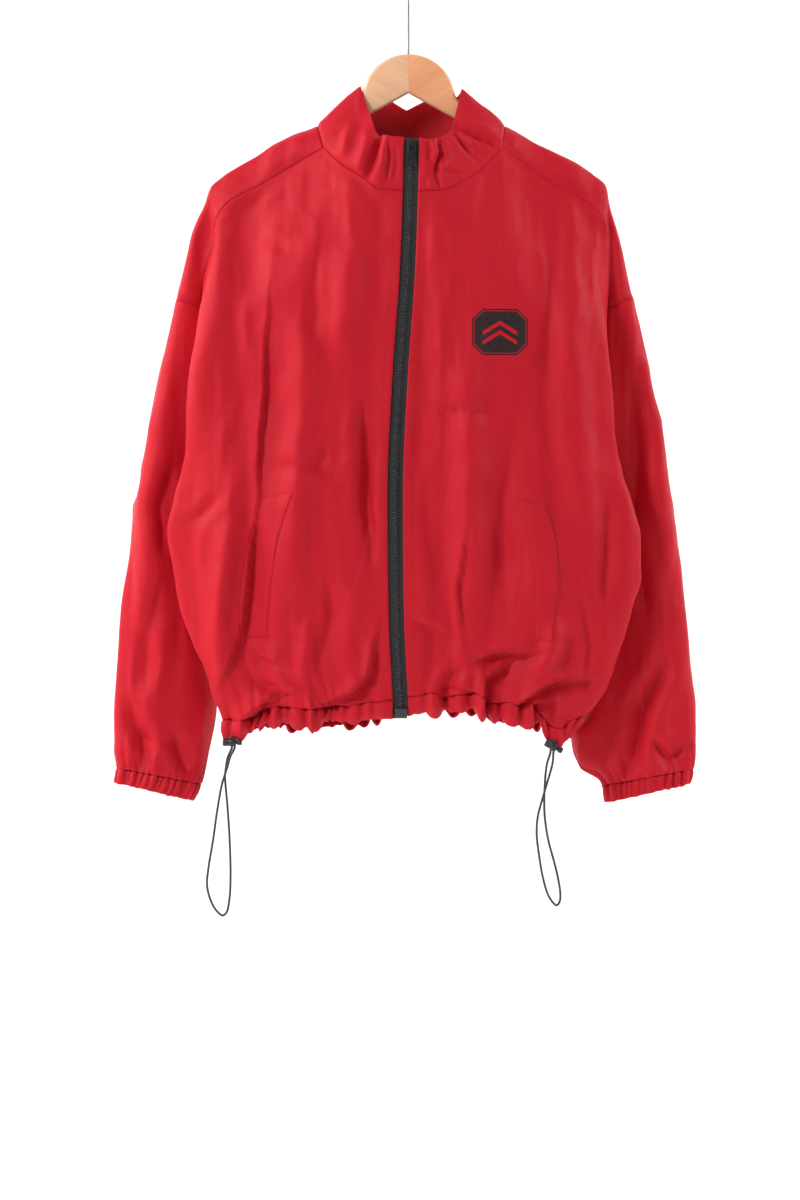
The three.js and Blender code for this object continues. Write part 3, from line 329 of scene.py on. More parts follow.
def zip_cloth():
    """Black woven tape with fine ribs along it."""
    nodes = Nodes("zip_cloth")
    uv = nodes.coords(uv_map="weave")
    ribs = nodes.wave(uv, 210, "X")
    picks = nodes.wave(uv, 330, "Y", 0.6)
    weave = nodes.math("ADD", nodes.math("MULTIPLY", ribs, 0.6), nodes.math("MULTIPLY", picks, 0.4))
    fluff = nodes.noise(nodes.coords("Object"), 900, 3.0)
    value = nodes.math("MULTIPLY", weave, nodes.ramp(fluff, 0.3, 0.7, 0.7, 1.0))
    colour = nodes.mix(value, (0.0085, 0.0085, 0.010), (0.030, 0.029, 0.033))
    nodes.set(Sheen_Weight=0.15, Sheen_Roughness=0.5)
    return nodes.set(Base_Color=colour, Roughness=0.82, Normal=nodes.bump(weave, 0.0002, 0.6))


def dark_metal(name, light, roughness):
    """Blackened metal, a little worn."""
    nodes = Nodes(name)
    worn = nodes.noise(nodes.coords("Object"), 700, 4.0, 0.65)
    colour = nodes.mix(nodes.ramp(worn, 0.35, 0.75), tuple(0.45 * v for v in light), light)
    normal = nodes.bump(worn, 0.00004, 0.3)
    rough = nodes.ramp(worn, 0.3, 0.7, roughness - 0.06, roughness + 0.1)
    return nodes.set(Base_Color=colour, Roughness=rough, Metallic=0.75, Normal=normal)


def lock_plastic():
    """Black moulded plastic."""
    nodes = Nodes("lock_plastic")
    grain = nodes.noise(nodes.coords("Object"), 2200, 2.0)
    colour = nodes.mix(nodes.ramp(grain, 0.3, 0.7), (0.010, 0.011, 0.013), (0.020, 0.022, 0.025))
    return nodes.set(Base_Color=colour, Roughness=0.38, Normal=nodes.bump(grain, 0.00003, 0.35))


def braid():
    """Black elastic cord with a fine braided cover."""
    nodes = Nodes("cord_braid")
    where = nodes.coords("Object")
    first = nodes.wave(nodes.scaled(where, (1, 0.4, 1)), 520, "DIAGONAL")
    second = nodes.wave(nodes.scaled(where, (-1, 0.4, 1)), 520, "DIAGONAL")
    cross = nodes.math("MAXIMUM", first, second)
    colour = nodes.mix(cross, (0.006, 0.007, 0.008), (0.036, 0.042, 0.046))
    nodes.set(Sheen_Weight=0.2)
    return nodes.set(Base_Color=colour, Roughness=0.62, Normal=nodes.bump(cross, 0.00022, 0.7))


def timber(name, light, dark, turn):
    """Lacquered beech with long grain down the arm, pores and a few darker bands."""
    nodes = Nodes(name)
    mapping = nodes.tree.nodes.new("ShaderNodeMapping")
    nodes.plug(mapping.inputs["Vector"], nodes.coords("Object"))
    mapping.inputs["Rotation"].default_value = (0, turn, 0)
    bands = nodes.noise(nodes.scaled(mapping.outputs["Vector"], (7, 60, 60)), 1.0, 4.0, 0.6)
    pores = nodes.noise(nodes.scaled(mapping.outputs["Vector"], (30, 700, 700)), 1.0, 2.0)
    flecks = nodes.ramp(pores, 0.60, 0.72)
    colour = nodes.mix(nodes.ramp(bands, 0.3, 0.72), light, dark)
    deeper = tuple(0.62 * v for v in dark)
    colour = nodes.mix(nodes.math("MULTIPLY", flecks, 0.45), colour, deeper)
    nodes.set(Coat_Weight=0.35, Coat_Roughness=0.22)
    rough = nodes.ramp(bands, 0.3, 0.7, 0.36, 0.5)
    return nodes.set(Base_Color=colour, Roughness=rough, Normal=nodes.bump(flecks, 0.00005, 0.25))


def wire_steel():
    """Drawn steel wire."""
    nodes = Nodes("wire_steel")
    drawn = nodes.noise(nodes.scaled(nodes.coords("Object"), (900, 900, 30)), 1.0, 2.0)
    colour = nodes.mix(drawn, (0.30, 0.32, 0.33), (0.46, 0.48, 0.49))
    rough = nodes.ramp(drawn, 0.3, 0.7, 0.22, 0.34)
    normal = nodes.bump(drawn, 0.00002, 0.3)
    return nodes.set(Base_Color=colour, Roughness=rough, Metallic=1.0, Normal=normal)


# ---------------------------------------------------------------- making objects

def linked(name, data):
    """A new object of the scene."""
    obj = bpy.data.objects.new(name, data)
    bpy.context.scene.collection.objects.link(obj)
    return obj


def add_object(name, data, material, body=JACKET, replaces=(), slot=None, smooth=True):
    """A piece of the part: it rides a body and stands for the solids named; its slot is not used."""
    obj = linked(name, data)
    data.materials.append(material)
    if smooth and isinstance(data, bpy.types.Mesh):
        data.shade_smooth()
    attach(obj, body)
    if replaces:
        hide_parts(*replaces)
    return obj


def mesh_from(points, faces, name):
    """A mesh from points in millimetres."""
    mesh = bpy.data.meshes.new(name)
    mesh.from_pydata((np.asarray(points, float) * MM).tolist(), [], [list(map(int, f)) for f in faces])
    mesh.validate()
    mesh.update()
    return mesh


def tube(name, points, radius, material, **binding):
    """A curve object through points, with a round section."""
    curve = bpy.data.curves.new(name, "CURVE")
    curve.dimensions = "3D"
    curve.bevel_depth = radius * MM
    curve.bevel_resolution = 4
    curve.use_fill_caps = True
    spline = curve.splines.new("POLY")
    spline.points.add(len(points) - 1)
    for target, p in zip(spline.points, points):
        target.co = (p[0] * MM, p[1] * MM, p[2] * MM, 1)
    return add_object(name, curve, material, **binding)


def through(points, steps=10):
    """Points along a centripetal Catmull-Rom curve."""
    p = np.asarray(points, float)
    p = np.vstack([2 * p[0] - p[1], p, 2 * p[-1] - p[-2]])
    line = []
    for p0, p1, p2, p3 in zip(p[:-3], p[1:-2], p[2:-1], p[3:]):
        gaps = [math.sqrt(np.linalg.norm(b - a)) for a, b in ((p0, p1), (p1, p2), (p2, p3))]
        t0, t1, t2, t3 = np.cumsum([0, *gaps])
        for t in np.linspace(t1, t2, steps, endpoint=False):
            a1 = (t1 - t) / (t1 - t0) * p0 + (t - t0) / (t1 - t0) * p1
            a2 = (t2 - t) / (t2 - t1) * p1 + (t - t1) / (t2 - t1) * p2
            a3 = (t3 - t) / (t3 - t2) * p2 + (t - t2) / (t3 - t2) * p3
            b1 = (t2 - t) / (t2 - t0) * a1 + (t - t0) / (t2 - t0) * a2
            b2 = (t3 - t) / (t3 - t1) * a2 + (t - t1) / (t3 - t1) * a3
            line.append((t2 - t) / (t2 - t1) * b1 + (t - t1) / (t2 - t1) * b2)
    line.append(p[-2])
    return np.array(line)


# ---------------------------------------------------------------- cords and their locks

# Each free loop runs out of its lock and back in; the lock is tilted by degrees about Y.
CORD_DIAMETER = 2.5
CORDS = {
    "left": {
        "lock": (-186.5, -40.8, -853.5), "tilt": 0,
        "route": [
            (-184, -39.8, -847), (-184, -40.8, -859), (-188.6, -41.6, -869), (-191.4, -42.6, -879),
            (-194.5, -42.8, -888.4), (-197.2, -42.8, -897), (-202.2, -42.8, -924.4),
            (-206.7, -42.6, -956.2), (-211.9, -42.6, -988), (-213.2, -42.6, -1005),
            (-209.4, -42.2, -1020.6), (-203, -41.6, -1032.1), (-196.6, -40.6, -1036.8),
            (-192.6, -39.6, -1033.6), (-189.4, -39, -1017.7), (-188.4, -38.6, -994.4),
            (-189.4, -38.6, -956.2), (-192, -38.6, -917.8), (-193.9, -38.4, -897),
            (-194.2, -38.4, -888.4), (-193.2, -38.6, -879), (-191.2, -39.6, -869), (-187, -40.8, -859),
            (-187, -39.8, -847),
        ],
    },
    "right": {
        "lock": (153.7, -47.4, -858), "tilt": 28,
        "route": [
            (150.2, -46.2, -850.5), (150.2, -47.4, -863), (146.2, -46, -877.3), (144.1, -44.6, -899),
            (143.6, -44.2, -916), (144.1, -44, -931.9), (147.7, -44, -956.2), (154.2, -44, -980.6),
            (158.5, -44.2, -999.1), (160.6, -44.6, -1013.5), (159.8, -45.2, -1022),
            (156.8, -46, -1025.9), (153.2, -46.8, -1023.4), (147.7, -47.4, -1015),
            (142.1, -48, -996.5), (137.9, -48.2, -972.1), (135.5, -48.2, -950.3),
            (136.7, -48.2, -931.9), (142.1, -48.2, -911.4), (146.8, -48.2, -895.5),
            (152.2, -47.8, -876), (153.2, -47.4, -863), (153.2, -46.2, -850.5),
        ],
    },
}


def lathe(profile, sides):
    """Points and faces of a turned shape about the X axis, closed at both ends."""
    profile = np.asarray(profile, float)
    angles = np.linspace(0, 2 * math.pi, sides, endpoint=False)
    rings = [stack(x, r * np.cos(angles), r * np.sin(angles)) for x, r in profile]
    points = np.concatenate(rings)
    faces = []
    for i in range(len(rings) - 1):
        for j in range(sides):
            k = (j + 1) % sides
            faces.append((i * sides + j, (i + 1) * sides + j, (i + 1) * sides + k, i * sides + k))
    faces.append(tuple(range(sides)))
    faces.append(tuple((len(rings) - 1) * sides + j for j in reversed(range(sides))))
    return points, faces


# Profiles as distance along the axis and radius.
LOCK_END = [(-10.25, 0.5), (-10.2, 2.9), (-9.9, 3.5), (-9.3, 3.9), (-8.9, 4.2)]
LOCK_RIB = [(0, 4.3), (0.8, 4.3), (1.05, 3.95), (1.45, 3.95)]
LOCK_FIRST_RIB, LOCK_RIB_PITCH, LOCK_RIBS, LOCK_SIDES = -8.4, 1.7, 3, 36
LOCK_BARREL = [(-3.2, 4.3), (2.6, 4.3), (3.3, 4.1), (3.7, 3.5)]
LOCK_PLUNGER = [
    (3.75, 2.3), (5.3, 2.3), (5.4, 2.8), (5.8, 3.2), (9.5, 3.2), (10.0, 2.9), (10.25, 2.2), (10.25, 0.5),
]


def lock_mesh(cord, name):
    """A barrel lock: ribbed body, neck and plunger head."""
    starts = [LOCK_FIRST_RIB + LOCK_RIB_PITCH * rib for rib in range(LOCK_RIBS)]
    ribs = [(start + x, radius) for start in starts for x, radius in LOCK_RIB]
    points, faces = lathe(LOCK_END + ribs + LOCK_BARREL + LOCK_PLUNGER, LOCK_SIDES)
    tilt = math.radians(cord["tilt"])
    x, z = points[:, 0].copy(), points[:, 2].copy()
    points[:, 0] = x * math.cos(tilt) + z * math.sin(tilt)
    points[:, 2] = -x * math.sin(tilt) + z * math.cos(tilt)
    return mesh_from(points + np.array(cord["lock"]), faces, name)


def make_cords():
    """The two loops of drawcord and their locks."""
    braided, plastic = braid(), lock_plastic()
    for side, cord in CORDS.items():
        lock = add_object(
            f"lock_{side}", lock_mesh(cord, f"lock_{side}"), plastic,
            replaces=(f"cord_lock_{side}",), slot="lock_plastic",
        )
        line = through(cord["route"])
        loop = tube(
            f"cord_{side}", line, CORD_DIAMETER / 2, braided, replaces=(f"cord_loop_{side}",), slot="cord",
        )


# ---------------------------------------------------------------- the garment's form

# Rows of the shoulder and the sleeve, from the neck to the cuff's edge: the seam with the body, how
# far the front and the back stand off in Y there and at their fullest, and the outer line.
ARM = table(
    "seam_left seam_right seam_z front_y back_y front_belly back_belly lean"
    " outer_left outer_right outer_z outer_y crown",
    [
        [90, 99, -223, -27, 22, -24, 19, 0.4, 97, 103, -198.6, 0, 9],
        [120, 124, -240.5, -21, 20, -19, 18, 0.4, 128, 128, -212, 0, 9],
        [157, 157, -262, -18, 18, -16, 16, 0.4, 162, 162, -230, 0, 9],
        [192, 191, -281, -17, 17, -14, 14, 0.4, 196, 196, -250.2, 0, 9],
        [206, 209, -302, -15, 15, -9, 9, 0.4, 210, 210, -262.7, 0, 10],
        [208, 212, -325, -12, 12, -5, 5, 0.4, 217, 214, -281, 0, 13],
        [215, 214, -347, -9, 10, -4, 6, 0.4, 229, 222.5, -309, 0, 16],
        [220, 214.5, -368, -7, 9, -8, 12, 0.35, 238, 232, -343, 1, 18],
        [221, 213, -391, -6, 9, -12, 18, 0.3, 247.5, 240.5, -382, 2, 20],
        [219, 211, -430, -5, 9, -14, 26, 0.3, 258, 252, -430, 4, 22],
        [217, 209, -480, -4, 9, -13, 34, 0.35, 267.5, 262, -480, 6, 24],
        [215, 207, -530, -3, 9, -11, 40, 0.4, 276, 270.5, -530, 8, 26],
        [213, 206, -565, 3, 3, -10, 46, 0.45, 282, 276, -565, 9, 28],
        [211, 204, -600, 18, 18, -14, 50, 0.4, 289, 281.5, -600, 10, 29],
        [208, 199, -640, 32, 32, -22, 52, 0.3, 296, 286.5, -640, 10, 30],
        [205, 191, -700, 38, 38, -20, 52, 0.25, 306.5, 294, -700, 12, 30],
        [203, 184, -760, 36, 36, -18, 50, 0.2, 311, 300.5, -760, 12, 28],
        [205, 180, -820, 30, 30, -18, 46, 0.15, 314.5, 307, -820, 10, 26],
        [212, 187, -862, 22, 22, -16, 40, 0.1, 314.5, 307, -858, 8, 24],
        [219, 204, -900, 12, 12, -14, 32, 0.08, 311, 303, -882, 6, 20],
        [227, 207, -918, 10, 10, -14, 30, 0.06, 313, 300.5, -897, 5, 19],
    ],
)
# Rows of ARM at the shoulder's corner, the underarm, the cuff's seam and its edge.
CORNER, UNDERARM, CUFF, CUFF_EDGE = 4, 12, 19, 20

# Sections of the body by height: where the front turns towards the side, the side seam, and how far
# the front and the back stand off in Y.
BODY = table(
    "z edge_left edge_right edge_y side_left side_right side_y front_y back_y back_edge back_edge_y",
    [
        [-225, 204, 208, -22, 0, 0, 0, -52, 40, 200, 20],
        [-302, 203.5, 208, -27, 0, 0, 0, -55, 44, 202, 23],
        [-347, 206, 210, -31, 0, 0, 0, -58, 47, 204, 26],
        [-391, 213.5, 211, -34, 0, 0, 0, -60, 49, 206, 29],
        [-430, 220.5, 213, -36, 0, 0, 0, -61, 51, 205, 30],
        [-480, 227.5, 217.5, -37, 0, 0, 0, -62, 52, 203, 30],
        [-530, 235.5, 222, -37, 0, 0, 0, -63, 53, 200, 29],
        [-565, 242, 227.5, -36, 213, 206, 3, -64, 54, 196, 28],
        [-600, 249.5, 237, -35, 220, 208, -2, -65, 54, 193, 26],
        [-638, 257, 247, -34, 225, 212, -6, -66, 55, 190, 24],
        [-680, 251, 247.5, -34, 224, 214, -10, -67, 56, 184, 22],
        [-715, 243, 238, -34, 216, 208, -12, -67, 57, 177, 22],
        [-755, 228.5, 226, -33, 206, 200, -12, -66, 57, 169, 25],
        [-798, 208, 207, -31, 196, 190, -8, -63, 54, 163, 28],
        [-832, 194, 189, -27, 186, 181, -4, -57, 49, 158, 29],
    ],
)
BACK_CENTRE_X = -2.0
# The neck seam from the zip to the shoulder, and from the shoulder to the middle of the back.
NECKLINE = table(
    "left left_z right right_z y",
    [
        [6, -270.5, 10, -270.5, -52],
        [29.4, -268.3, 33, -270, -52],
        [50.4, -254.5, 54, -262.4, -47],
        [72.6, -240.1, 76, -248, -38],
        [90, -223, 99, -223, -27],
    ],
)
BACK_NECKLINE = table("left right z y", [[90, 99, -223, 22], [50, 53, -231, 36], [2, -2, -234, 41]])
# The collar's top edge from the zip round to the middle of the back.
COLLAR = table(
    "left left_z right right_z y bulge",
    [
        [4.5, -214.5, 11.5, -215, -50, 0],
        [19, -213, 24, -216.4, -50, 1],
        [32.5, -210.5, 32, -214, -44, 2],
        [38, -199, 45, -206, -32, 4],
        [42, -187, 50, -191, -19, 5],
        [52, -156.5, 57, -160, -1, 4],
        [50, -165, 53, -166, 17, 3],
        [27, -167, 29, -167, 38, 2],
        [2, -179, -2, -179, 44, 1],
    ],
)
# The lower edge of the front and, from its last row, of the sides.
HEM_EDGE = table(
    "u left right",
    [
        [0, -829, -826], [0.14, -832, -823], [0.25, -833, -821], [0.31, -836, -830.5],
        [0.41, -839, -834], [0.5, -836.5, -834], [0.57, -840, -850], [0.64, -847.5, -861],
        [0.71, -851, -849], [0.79, -851, -845], [1, -846, -846],
    ],
)
HEM_HEIGHT, HEM_BACK_Z, HEM_TUCK, HEM_SWELL, HEM_SIDE_DEPTH = 21.0, -838.0, 3.0, 1.5, 10.0
ZIP_HALF_OPENING = 8.0

# Shares across a panel at which the neck ends and the front turns, and the shoulder's row there.
NECK_END, EDGE_AT, EDGE_STATION = 5 / 14, 11 / 14, 3.36
# How flat a section's middle is, how round its turn, and how far down the shoulder's form fades.
FLAT, FALL, TURN_REACH, SIDE_REACH, BACK_STRAIGHT, TOP_SETTLE = 0.62, 0.6, 0.35, 0.3, 0.6, 150.0
CUBIC_STEPS = 28
FRONT_NECK_ROWS, SHOULDER_COLLAR_ROWS, BACK_NECK_ROWS = 4, 2, 2

arm = readers(ARM)
body = readers(BODY, "z")
neckline = readers(NECKLINE)
back_neckline = readers(BACK_NECKLINE)
collar_top = readers(COLLAR)
hem_edge = readers(HEM_EDGE, "u")
zip_x = reader([-214, -350, -470, -590, -710, -829], [3.5, -1, -9, -14, -13, -7.5])


def along_cubic(p0, p1, p2, p3, share):
    """Point of each cubic at a share of its length."""
    shape = share.shape
    p0, p1, p2, p3 = (np.broadcast_to(p, shape + (3,)).reshape(-1, 3) for p in (p0, p1, p2, p3))
    share = np.clip(share.reshape(-1), 0, 1)
    t = np.linspace(0, 1, CUBIC_STEPS + 1)
    basis = np.stack([(1 - t) ** 3, 3 * t * (1 - t) ** 2, 3 * t * t * (1 - t), t ** 3])
    points = np.einsum("kt,knc->ntc", basis, np.stack([p0, p1, p2, p3]))
    run = run_along(points, 1)
    target = share * run[:, -1]
    i = np.clip((run <= target[:, None]).sum(1) - 1, 0, len(t) - 2)
    rows = np.arange(len(share))
    part = (target - run[rows, i]) / np.maximum(run[rows, i + 1] - run[rows, i], 1e-9)
    s = (t[i] + part * (t[1] - t[0]))[:, None]
    line = (1 - s) ** 3 * p0 + 3 * s * (1 - s) ** 2 * p1 + 3 * s * s * (1 - s) * p2 + s ** 3 * p3
    return line.reshape(shape + (3,))


def seam_point(side, face, station):
    """Point of the shoulder seam, the armhole or the sleeve's inner line."""
    return stack(arm[f"seam_{side}"](station), arm[f"{face}_y"](station), arm["seam_z"](station))


def arm_point(side, face, station, t):
    """Point of a shoulder's or sleeve's front or back, from the inner line at 0 to the outer at 1."""
    start = seam_point(side, face, station)
    end = stack(arm[f"outer_{side}"](station), arm["outer_y"](station), arm["outer_z"](station))
    lean = arm["lean"](station)
    out = -1 if face == "front" else 1
    first = stack(
        start[..., 0] + lean * (end[..., 0] - start[..., 0]), arm[f"{face}_belly"](station),
        start[..., 2] + lean * (end[..., 2] - start[..., 2]),
    )
    second = end + stack(0, out * arm["crown"](station), 0)
    return along_cubic(start, first, second, end, t)


def station_on_top(u):
    """The row of the shoulder that meets a panel's top edge at u."""
    before = EDGE_STATION * (u - NECK_END) / (EDGE_AT - NECK_END)
    after = EDGE_STATION + (CORNER - EDGE_STATION) * (u - EDGE_AT) / (1 - EDGE_AT)
    return np.where(u < EDGE_AT, before, after)


def panel_top(side, face, u):
    """Point of a panel's top edge: the neck seam, then the shoulder seam."""
    t = np.clip(u / NECK_END, 0, 1)
    if face == "front":
        at = t * FRONT_NECK_ROWS
        neck = stack(neckline[side](at), neckline["y"](at), neckline[f"{side}_z"](at))
    else:
        at = (1 - t) * BACK_NECK_ROWS
        neck = stack(back_neckline[side](at), back_neckline["y"](at), back_neckline["z"](at))
    shoulder = seam_point(side, face, station_on_top(np.maximum(u, NECK_END)))
    return np.where((u <= NECK_END)[..., None], neck, shoulder)


def hem_z(side, face, u):
    """Height of the hem's lower edge."""
    if face == "front":
        return hem_edge[side](u)
    return HEM_BACK_Z + (hem_edge[side](1.0) - HEM_BACK_Z) * u * u


def side_point(side, face, v):
    """Point of a panel's side: the armhole down to v = 0.5, then the side seam."""
    station = CORNER + (UNDERARM - CORNER) * np.clip(v / 0.5, 0, 1)
    upper = seam_point(side, face, station)
    top = arm["seam_z"](float(UNDERARM))
    z = top + (hem_z(side, face, np.float64(1)) + HEM_HEIGHT - top) * np.clip((v - 0.5) / 0.5, 0, 1)
    lower = stack(body[f"side_{side}"](z), body["side_y"](z), z)
    return np.where((v <= 0.5)[..., None], upper, lower)


def section_point(side, face, z, u, side_end):
    """Point of a level section of the body, from its middle at u = 0 to its side at u = 1."""
    front = face == "front"
    edge = stack(
        body[f"edge_{side}"](z) if front else body["back_edge"](z),
        body["edge_y"](z) if front else body["back_edge_y"](z), z,
    )
    middle = SIGN[side] * zip_x(z) + ZIP_HALF_OPENING if front else SIGN[side] * BACK_CENTRE_X + 0 * z
    centre = stack(middle, body["front_y"](z) if front else body["back_y"](z), z)
    foot = side_end.copy()
    foot[..., 2] = z
    along = foot - edge
    reach = np.linalg.norm(along, axis=-1, keepdims=True)
    straight = 0.0 if front else BACK_STRAIGHT
    out = np.sign(centre[..., 1])
    turn = unit(stack(
        straight * along[..., 0], along[..., 1] - out * (1 - straight) * reach[..., 0], 0 * z,
    ))
    fall = FALL * np.abs(centre[..., 1] - edge[..., 1])[..., None]
    flat = centre + stack(FLAT * (edge - centre)[..., 0], 0, 0)
    inner = along_cubic(centre, flat, edge - fall * turn, edge, np.clip(u / EDGE_AT, 0, 1))
    outer = along_cubic(
        edge, edge + TURN_REACH * reach * turn, foot - SIDE_REACH * along, foot,
        np.clip((u - EDGE_AT) / (1 - EDGE_AT), 0, 1),
    )
    return np.where((u <= EDGE_AT)[..., None], inner, outer)


def panel_grid(side, face):
    """Points of a panel in side coordinates, and their shares across it."""
    v, u = np.meshgrid(ROW_SHARES, np.linspace(0, 1, COLUMNS + 1), indexing="ij")
    top = panel_top(side, face, u)
    side_end = side_point(side, face, v)
    side_top = side_point(side, face, np.zeros(()))
    side_foot = side_point(side, face, np.ones(()))[2]
    down = (side_top[2] - side_end[..., 2]) / (side_top[2] - side_foot)
    z = top[..., 2] + (hem_z(side, face, u) + HEM_HEIGHT - top[..., 2]) * down
    settle = 1 - smoothstep(top[..., 2] - z, 0, TOP_SETTLE)
    start = section_point(side, face, top[..., 2], u, np.broadcast_to(side_top, u.shape + (3,)))
    points = section_point(side, face, z, u, side_end) + (top - start) * settle[..., None]
    points[..., 2] = np.where(u < 1, z, side_end[..., 2])
    return points, u


def arm_grid(side, stations, around):
    """Rows of the shoulder or sleeve, from the front seam over the outer line to the back seam."""
    station, w = np.meshgrid(stations, np.linspace(0, 1, around + 1), indexing="ij")
    front = arm_point(side, "front", station, np.clip(2 * w, 0, 1))
    back = arm_point(side, "back", station, np.clip(2 - 2 * w, 0, 1))
    return np.where((w <= 0.5)[..., None], front, back), w


# Cells across a panel, each of FINE_U columns, and the other grids' rows and columns.
CELLS_DOWN, CELLS_ACROSS, FINE_U = 16, 14, 8
COLUMNS = CELLS_ACROSS * FINE_U
NECK_COLUMNS = 5 * FINE_U
YOKE_AROUND, SLEEVE_AROUND, SLEEVE_ROWS, CUFF_ROWS, COLLAR_ROWS, HEM_ROWS = 80, 176, 88, 14, 24, 12


def crowded(count, at_end=False, ease=0.5):
    """Shares from 0 to 1 that lie closer together at one end."""
    t = np.linspace(0, 1, count + 1)
    t = (1 - ease) * t + ease * t * t
    return 1 - t[::-1] if at_end else t


# Rows of a panel: to the armhole's start, to the underarm and to the hem seam.
UPPER_ROWS = 0.25 * crowded(32)
ARM_ROWS = 0.25 + 0.25 * np.linspace(0, 1, 33)
LOWER_ROWS = 0.5 + 0.5 * crowded(64, at_end=True)
ROW_SHARES = np.concatenate([UPPER_ROWS, ARM_ROWS[1:], LOWER_ROWS[1:]])


class Cloth:
    """A grid of points with outward normals.

    A left one is mirrored; "turned" says that its faces run the other way; push and lift are the
    moves out and up that shape it.
    """

    def __init__(self, points, side=None, turned=False, **fields):
        self.turned = turned
        self.points = points.copy()
        if side:
            self.points[..., 0] *= SIGN[side]
        self.base = self.points.copy()
        self.fields = fields
        self.normals = None
        self.from_top = run_along(self.points, 0)
        self.from_foot = self.from_top[-1:] - self.from_top
        self.from_start = run_along(self.points, 1)
        self.from_end = self.from_start[:, -1:] - self.from_start

    def at(self, i, j):
        """Displaced point and normal at fractional row i and column j."""
        i, j = np.asarray(i, float), np.asarray(j, float)
        i0 = np.clip(np.floor(i).astype(int), 0, self.points.shape[0] - 2)
        j0 = np.clip(np.floor(j).astype(int), 0, self.points.shape[1] - 2)
        a, b = (i - i0)[..., None], (j - j0)[..., None]
        out = []
        for g in (self.points, self.normals):
            top = g[i0, j0] * (1 - b) + g[i0, j0 + 1] * b
            foot = g[i0 + 1, j0] * (1 - b) + g[i0 + 1, j0 + 1] * b
            out.append(top * (1 - a) + foot * a)
        return out[0], unit(out[1])


WELD_DIGITS, WELD_SHIFT = 2, 0.00317


def meeting_points(grids):
    """The first of each set of points that meet, and the set of each point of all the grids."""
    base = np.concatenate([grid.reshape(-1, 3) for grid in grids])
    rounded = np.round(base + WELD_SHIFT, WELD_DIGITS) + 0.0
    _, first, ids = np.unique(rounded, axis=0, return_index=True, return_inverse=True)
    return first, ids.reshape(-1)


def share_normals(cloths):
    """Outward normals, shared where grids meet."""
    _, ids = meeting_points([c.base for c in cloths])
    sums = np.zeros((ids.max() + 1, 3))
    start = 0
    for c in cloths:
        g = c.points
        quad = np.cross(g[1:, 1:] - g[:-1, :-1], g[:-1, 1:] - g[1:, :-1])
        quad *= -1 if c.turned else 1
        index = ids[start:start + g.shape[0] * g.shape[1]].reshape(g.shape[:2])
        for part in (index[:-1, :-1], index[1:, :-1], index[:-1, 1:], index[1:, 1:]):
            np.add.at(sums, part.reshape(-1), quad.reshape(-1, 3))
        start += index.size
    sums = unit(sums)
    start = 0
    for c in cloths:
        size = c.points.shape[0] * c.points.shape[1]
        c.normals = sums[ids[start:start + size]].reshape(c.points.shape)
        start += size


def build_cloths():
    """All the grids, before any fold."""
    cloths = {}
    for side in ("left", "right"):
        for face in ("front", "back"):
            points, u = panel_grid(side, face)
            turned = (side == "left") == (face == "front")
            cloths[f"{face}_{side}"] = Cloth(points, side, turned, u=u)
        top = station_on_top(np.arange(NECK_COLUMNS, COLUMNS + 1) / COLUMNS)
        cap = CORNER + (UNDERARM - CORNER) * 2 * UPPER_ROWS[1:]
        low = CORNER + (UNDERARM - CORNER) * 2 * ARM_ROWS
        forearm = UNDERARM + (CUFF - UNDERARM) * crowded(SLEEVE_ROWS, at_end=True)
        sleeve = np.concatenate([low, forearm[1:]])
        for name, stations, around in (
            ("yoke", np.concatenate([top, cap]), YOKE_AROUND),
            ("sleeve", sleeve, SLEEVE_AROUND),
            ("cuff", np.linspace(CUFF, CUFF_EDGE, CUFF_ROWS + 1), SLEEVE_AROUND),
        ):
            points, w = arm_grid(side, stations, around)
            cloths[f"{name}_{side}"] = Cloth(points, side, side == "left", w=w)
    cloths["collar"] = collar_cloth(cloths)
    cloths["hem"] = hem_cloth(cloths)
    return cloths


def neck_stops(cloths, side):
    """The neck seam of a side from the zip to the middle of the back, and its place in COLLAR's rows."""
    front = cloths[f"front_{side}"].points[0, :NECK_COLUMNS]
    over = cloths[f"yoke_{side}"].points[0]
    back = cloths[f"back_{side}"].points[0, :NECK_COLUMNS][::-1]
    behind = FRONT_NECK_ROWS + SHOULDER_COLLAR_ROWS
    at = np.concatenate([
        FRONT_NECK_ROWS * np.arange(len(front)) / len(front),
        np.linspace(FRONT_NECK_ROWS, behind, len(over)),
        behind + BACK_NECK_ROWS * np.arange(1, len(back) + 1) / len(back),
    ])
    return np.concatenate([front, over, back]), at


def collar_cloth(cloths):
    """The stand collar, from the zip's left edge round to its right."""
    lines = []
    for side in ("left", "right"):
        seam, at = neck_stops(cloths, side)
        top = stack(SIGN[side] * collar_top[side](at), collar_top["y"](at), collar_top[f"{side}_z"](at))
        out = unit(stack(seam[:, 0] + top[:, 0], seam[:, 1] + top[:, 1], 0))
        t = np.linspace(0, 1, COLLAR_ROWS + 1)[:, None, None]
        bulge = (4 * t * (1 - t)) * (collar_top["bulge"](at)[:, None] * out)
        lines.append(seam * (1 - t) + top * t + bulge)
    left, right = lines
    points = np.concatenate([left, right[:, ::-1][:, 1:]], axis=1)
    t = np.linspace(0, 1, COLLAR_ROWS + 1)[:, None] + 0 * points[0, :, 0]
    return Cloth(points, t=t)


def round_the_hem(rows):
    """One run of values from the zip's left edge round the back, from those of the panels' feet."""
    return np.concatenate([
        rows["front_left"], rows["back_left"][::-1][1:],
        rows["back_right"][1:], rows["front_right"][::-1][1:],
    ])


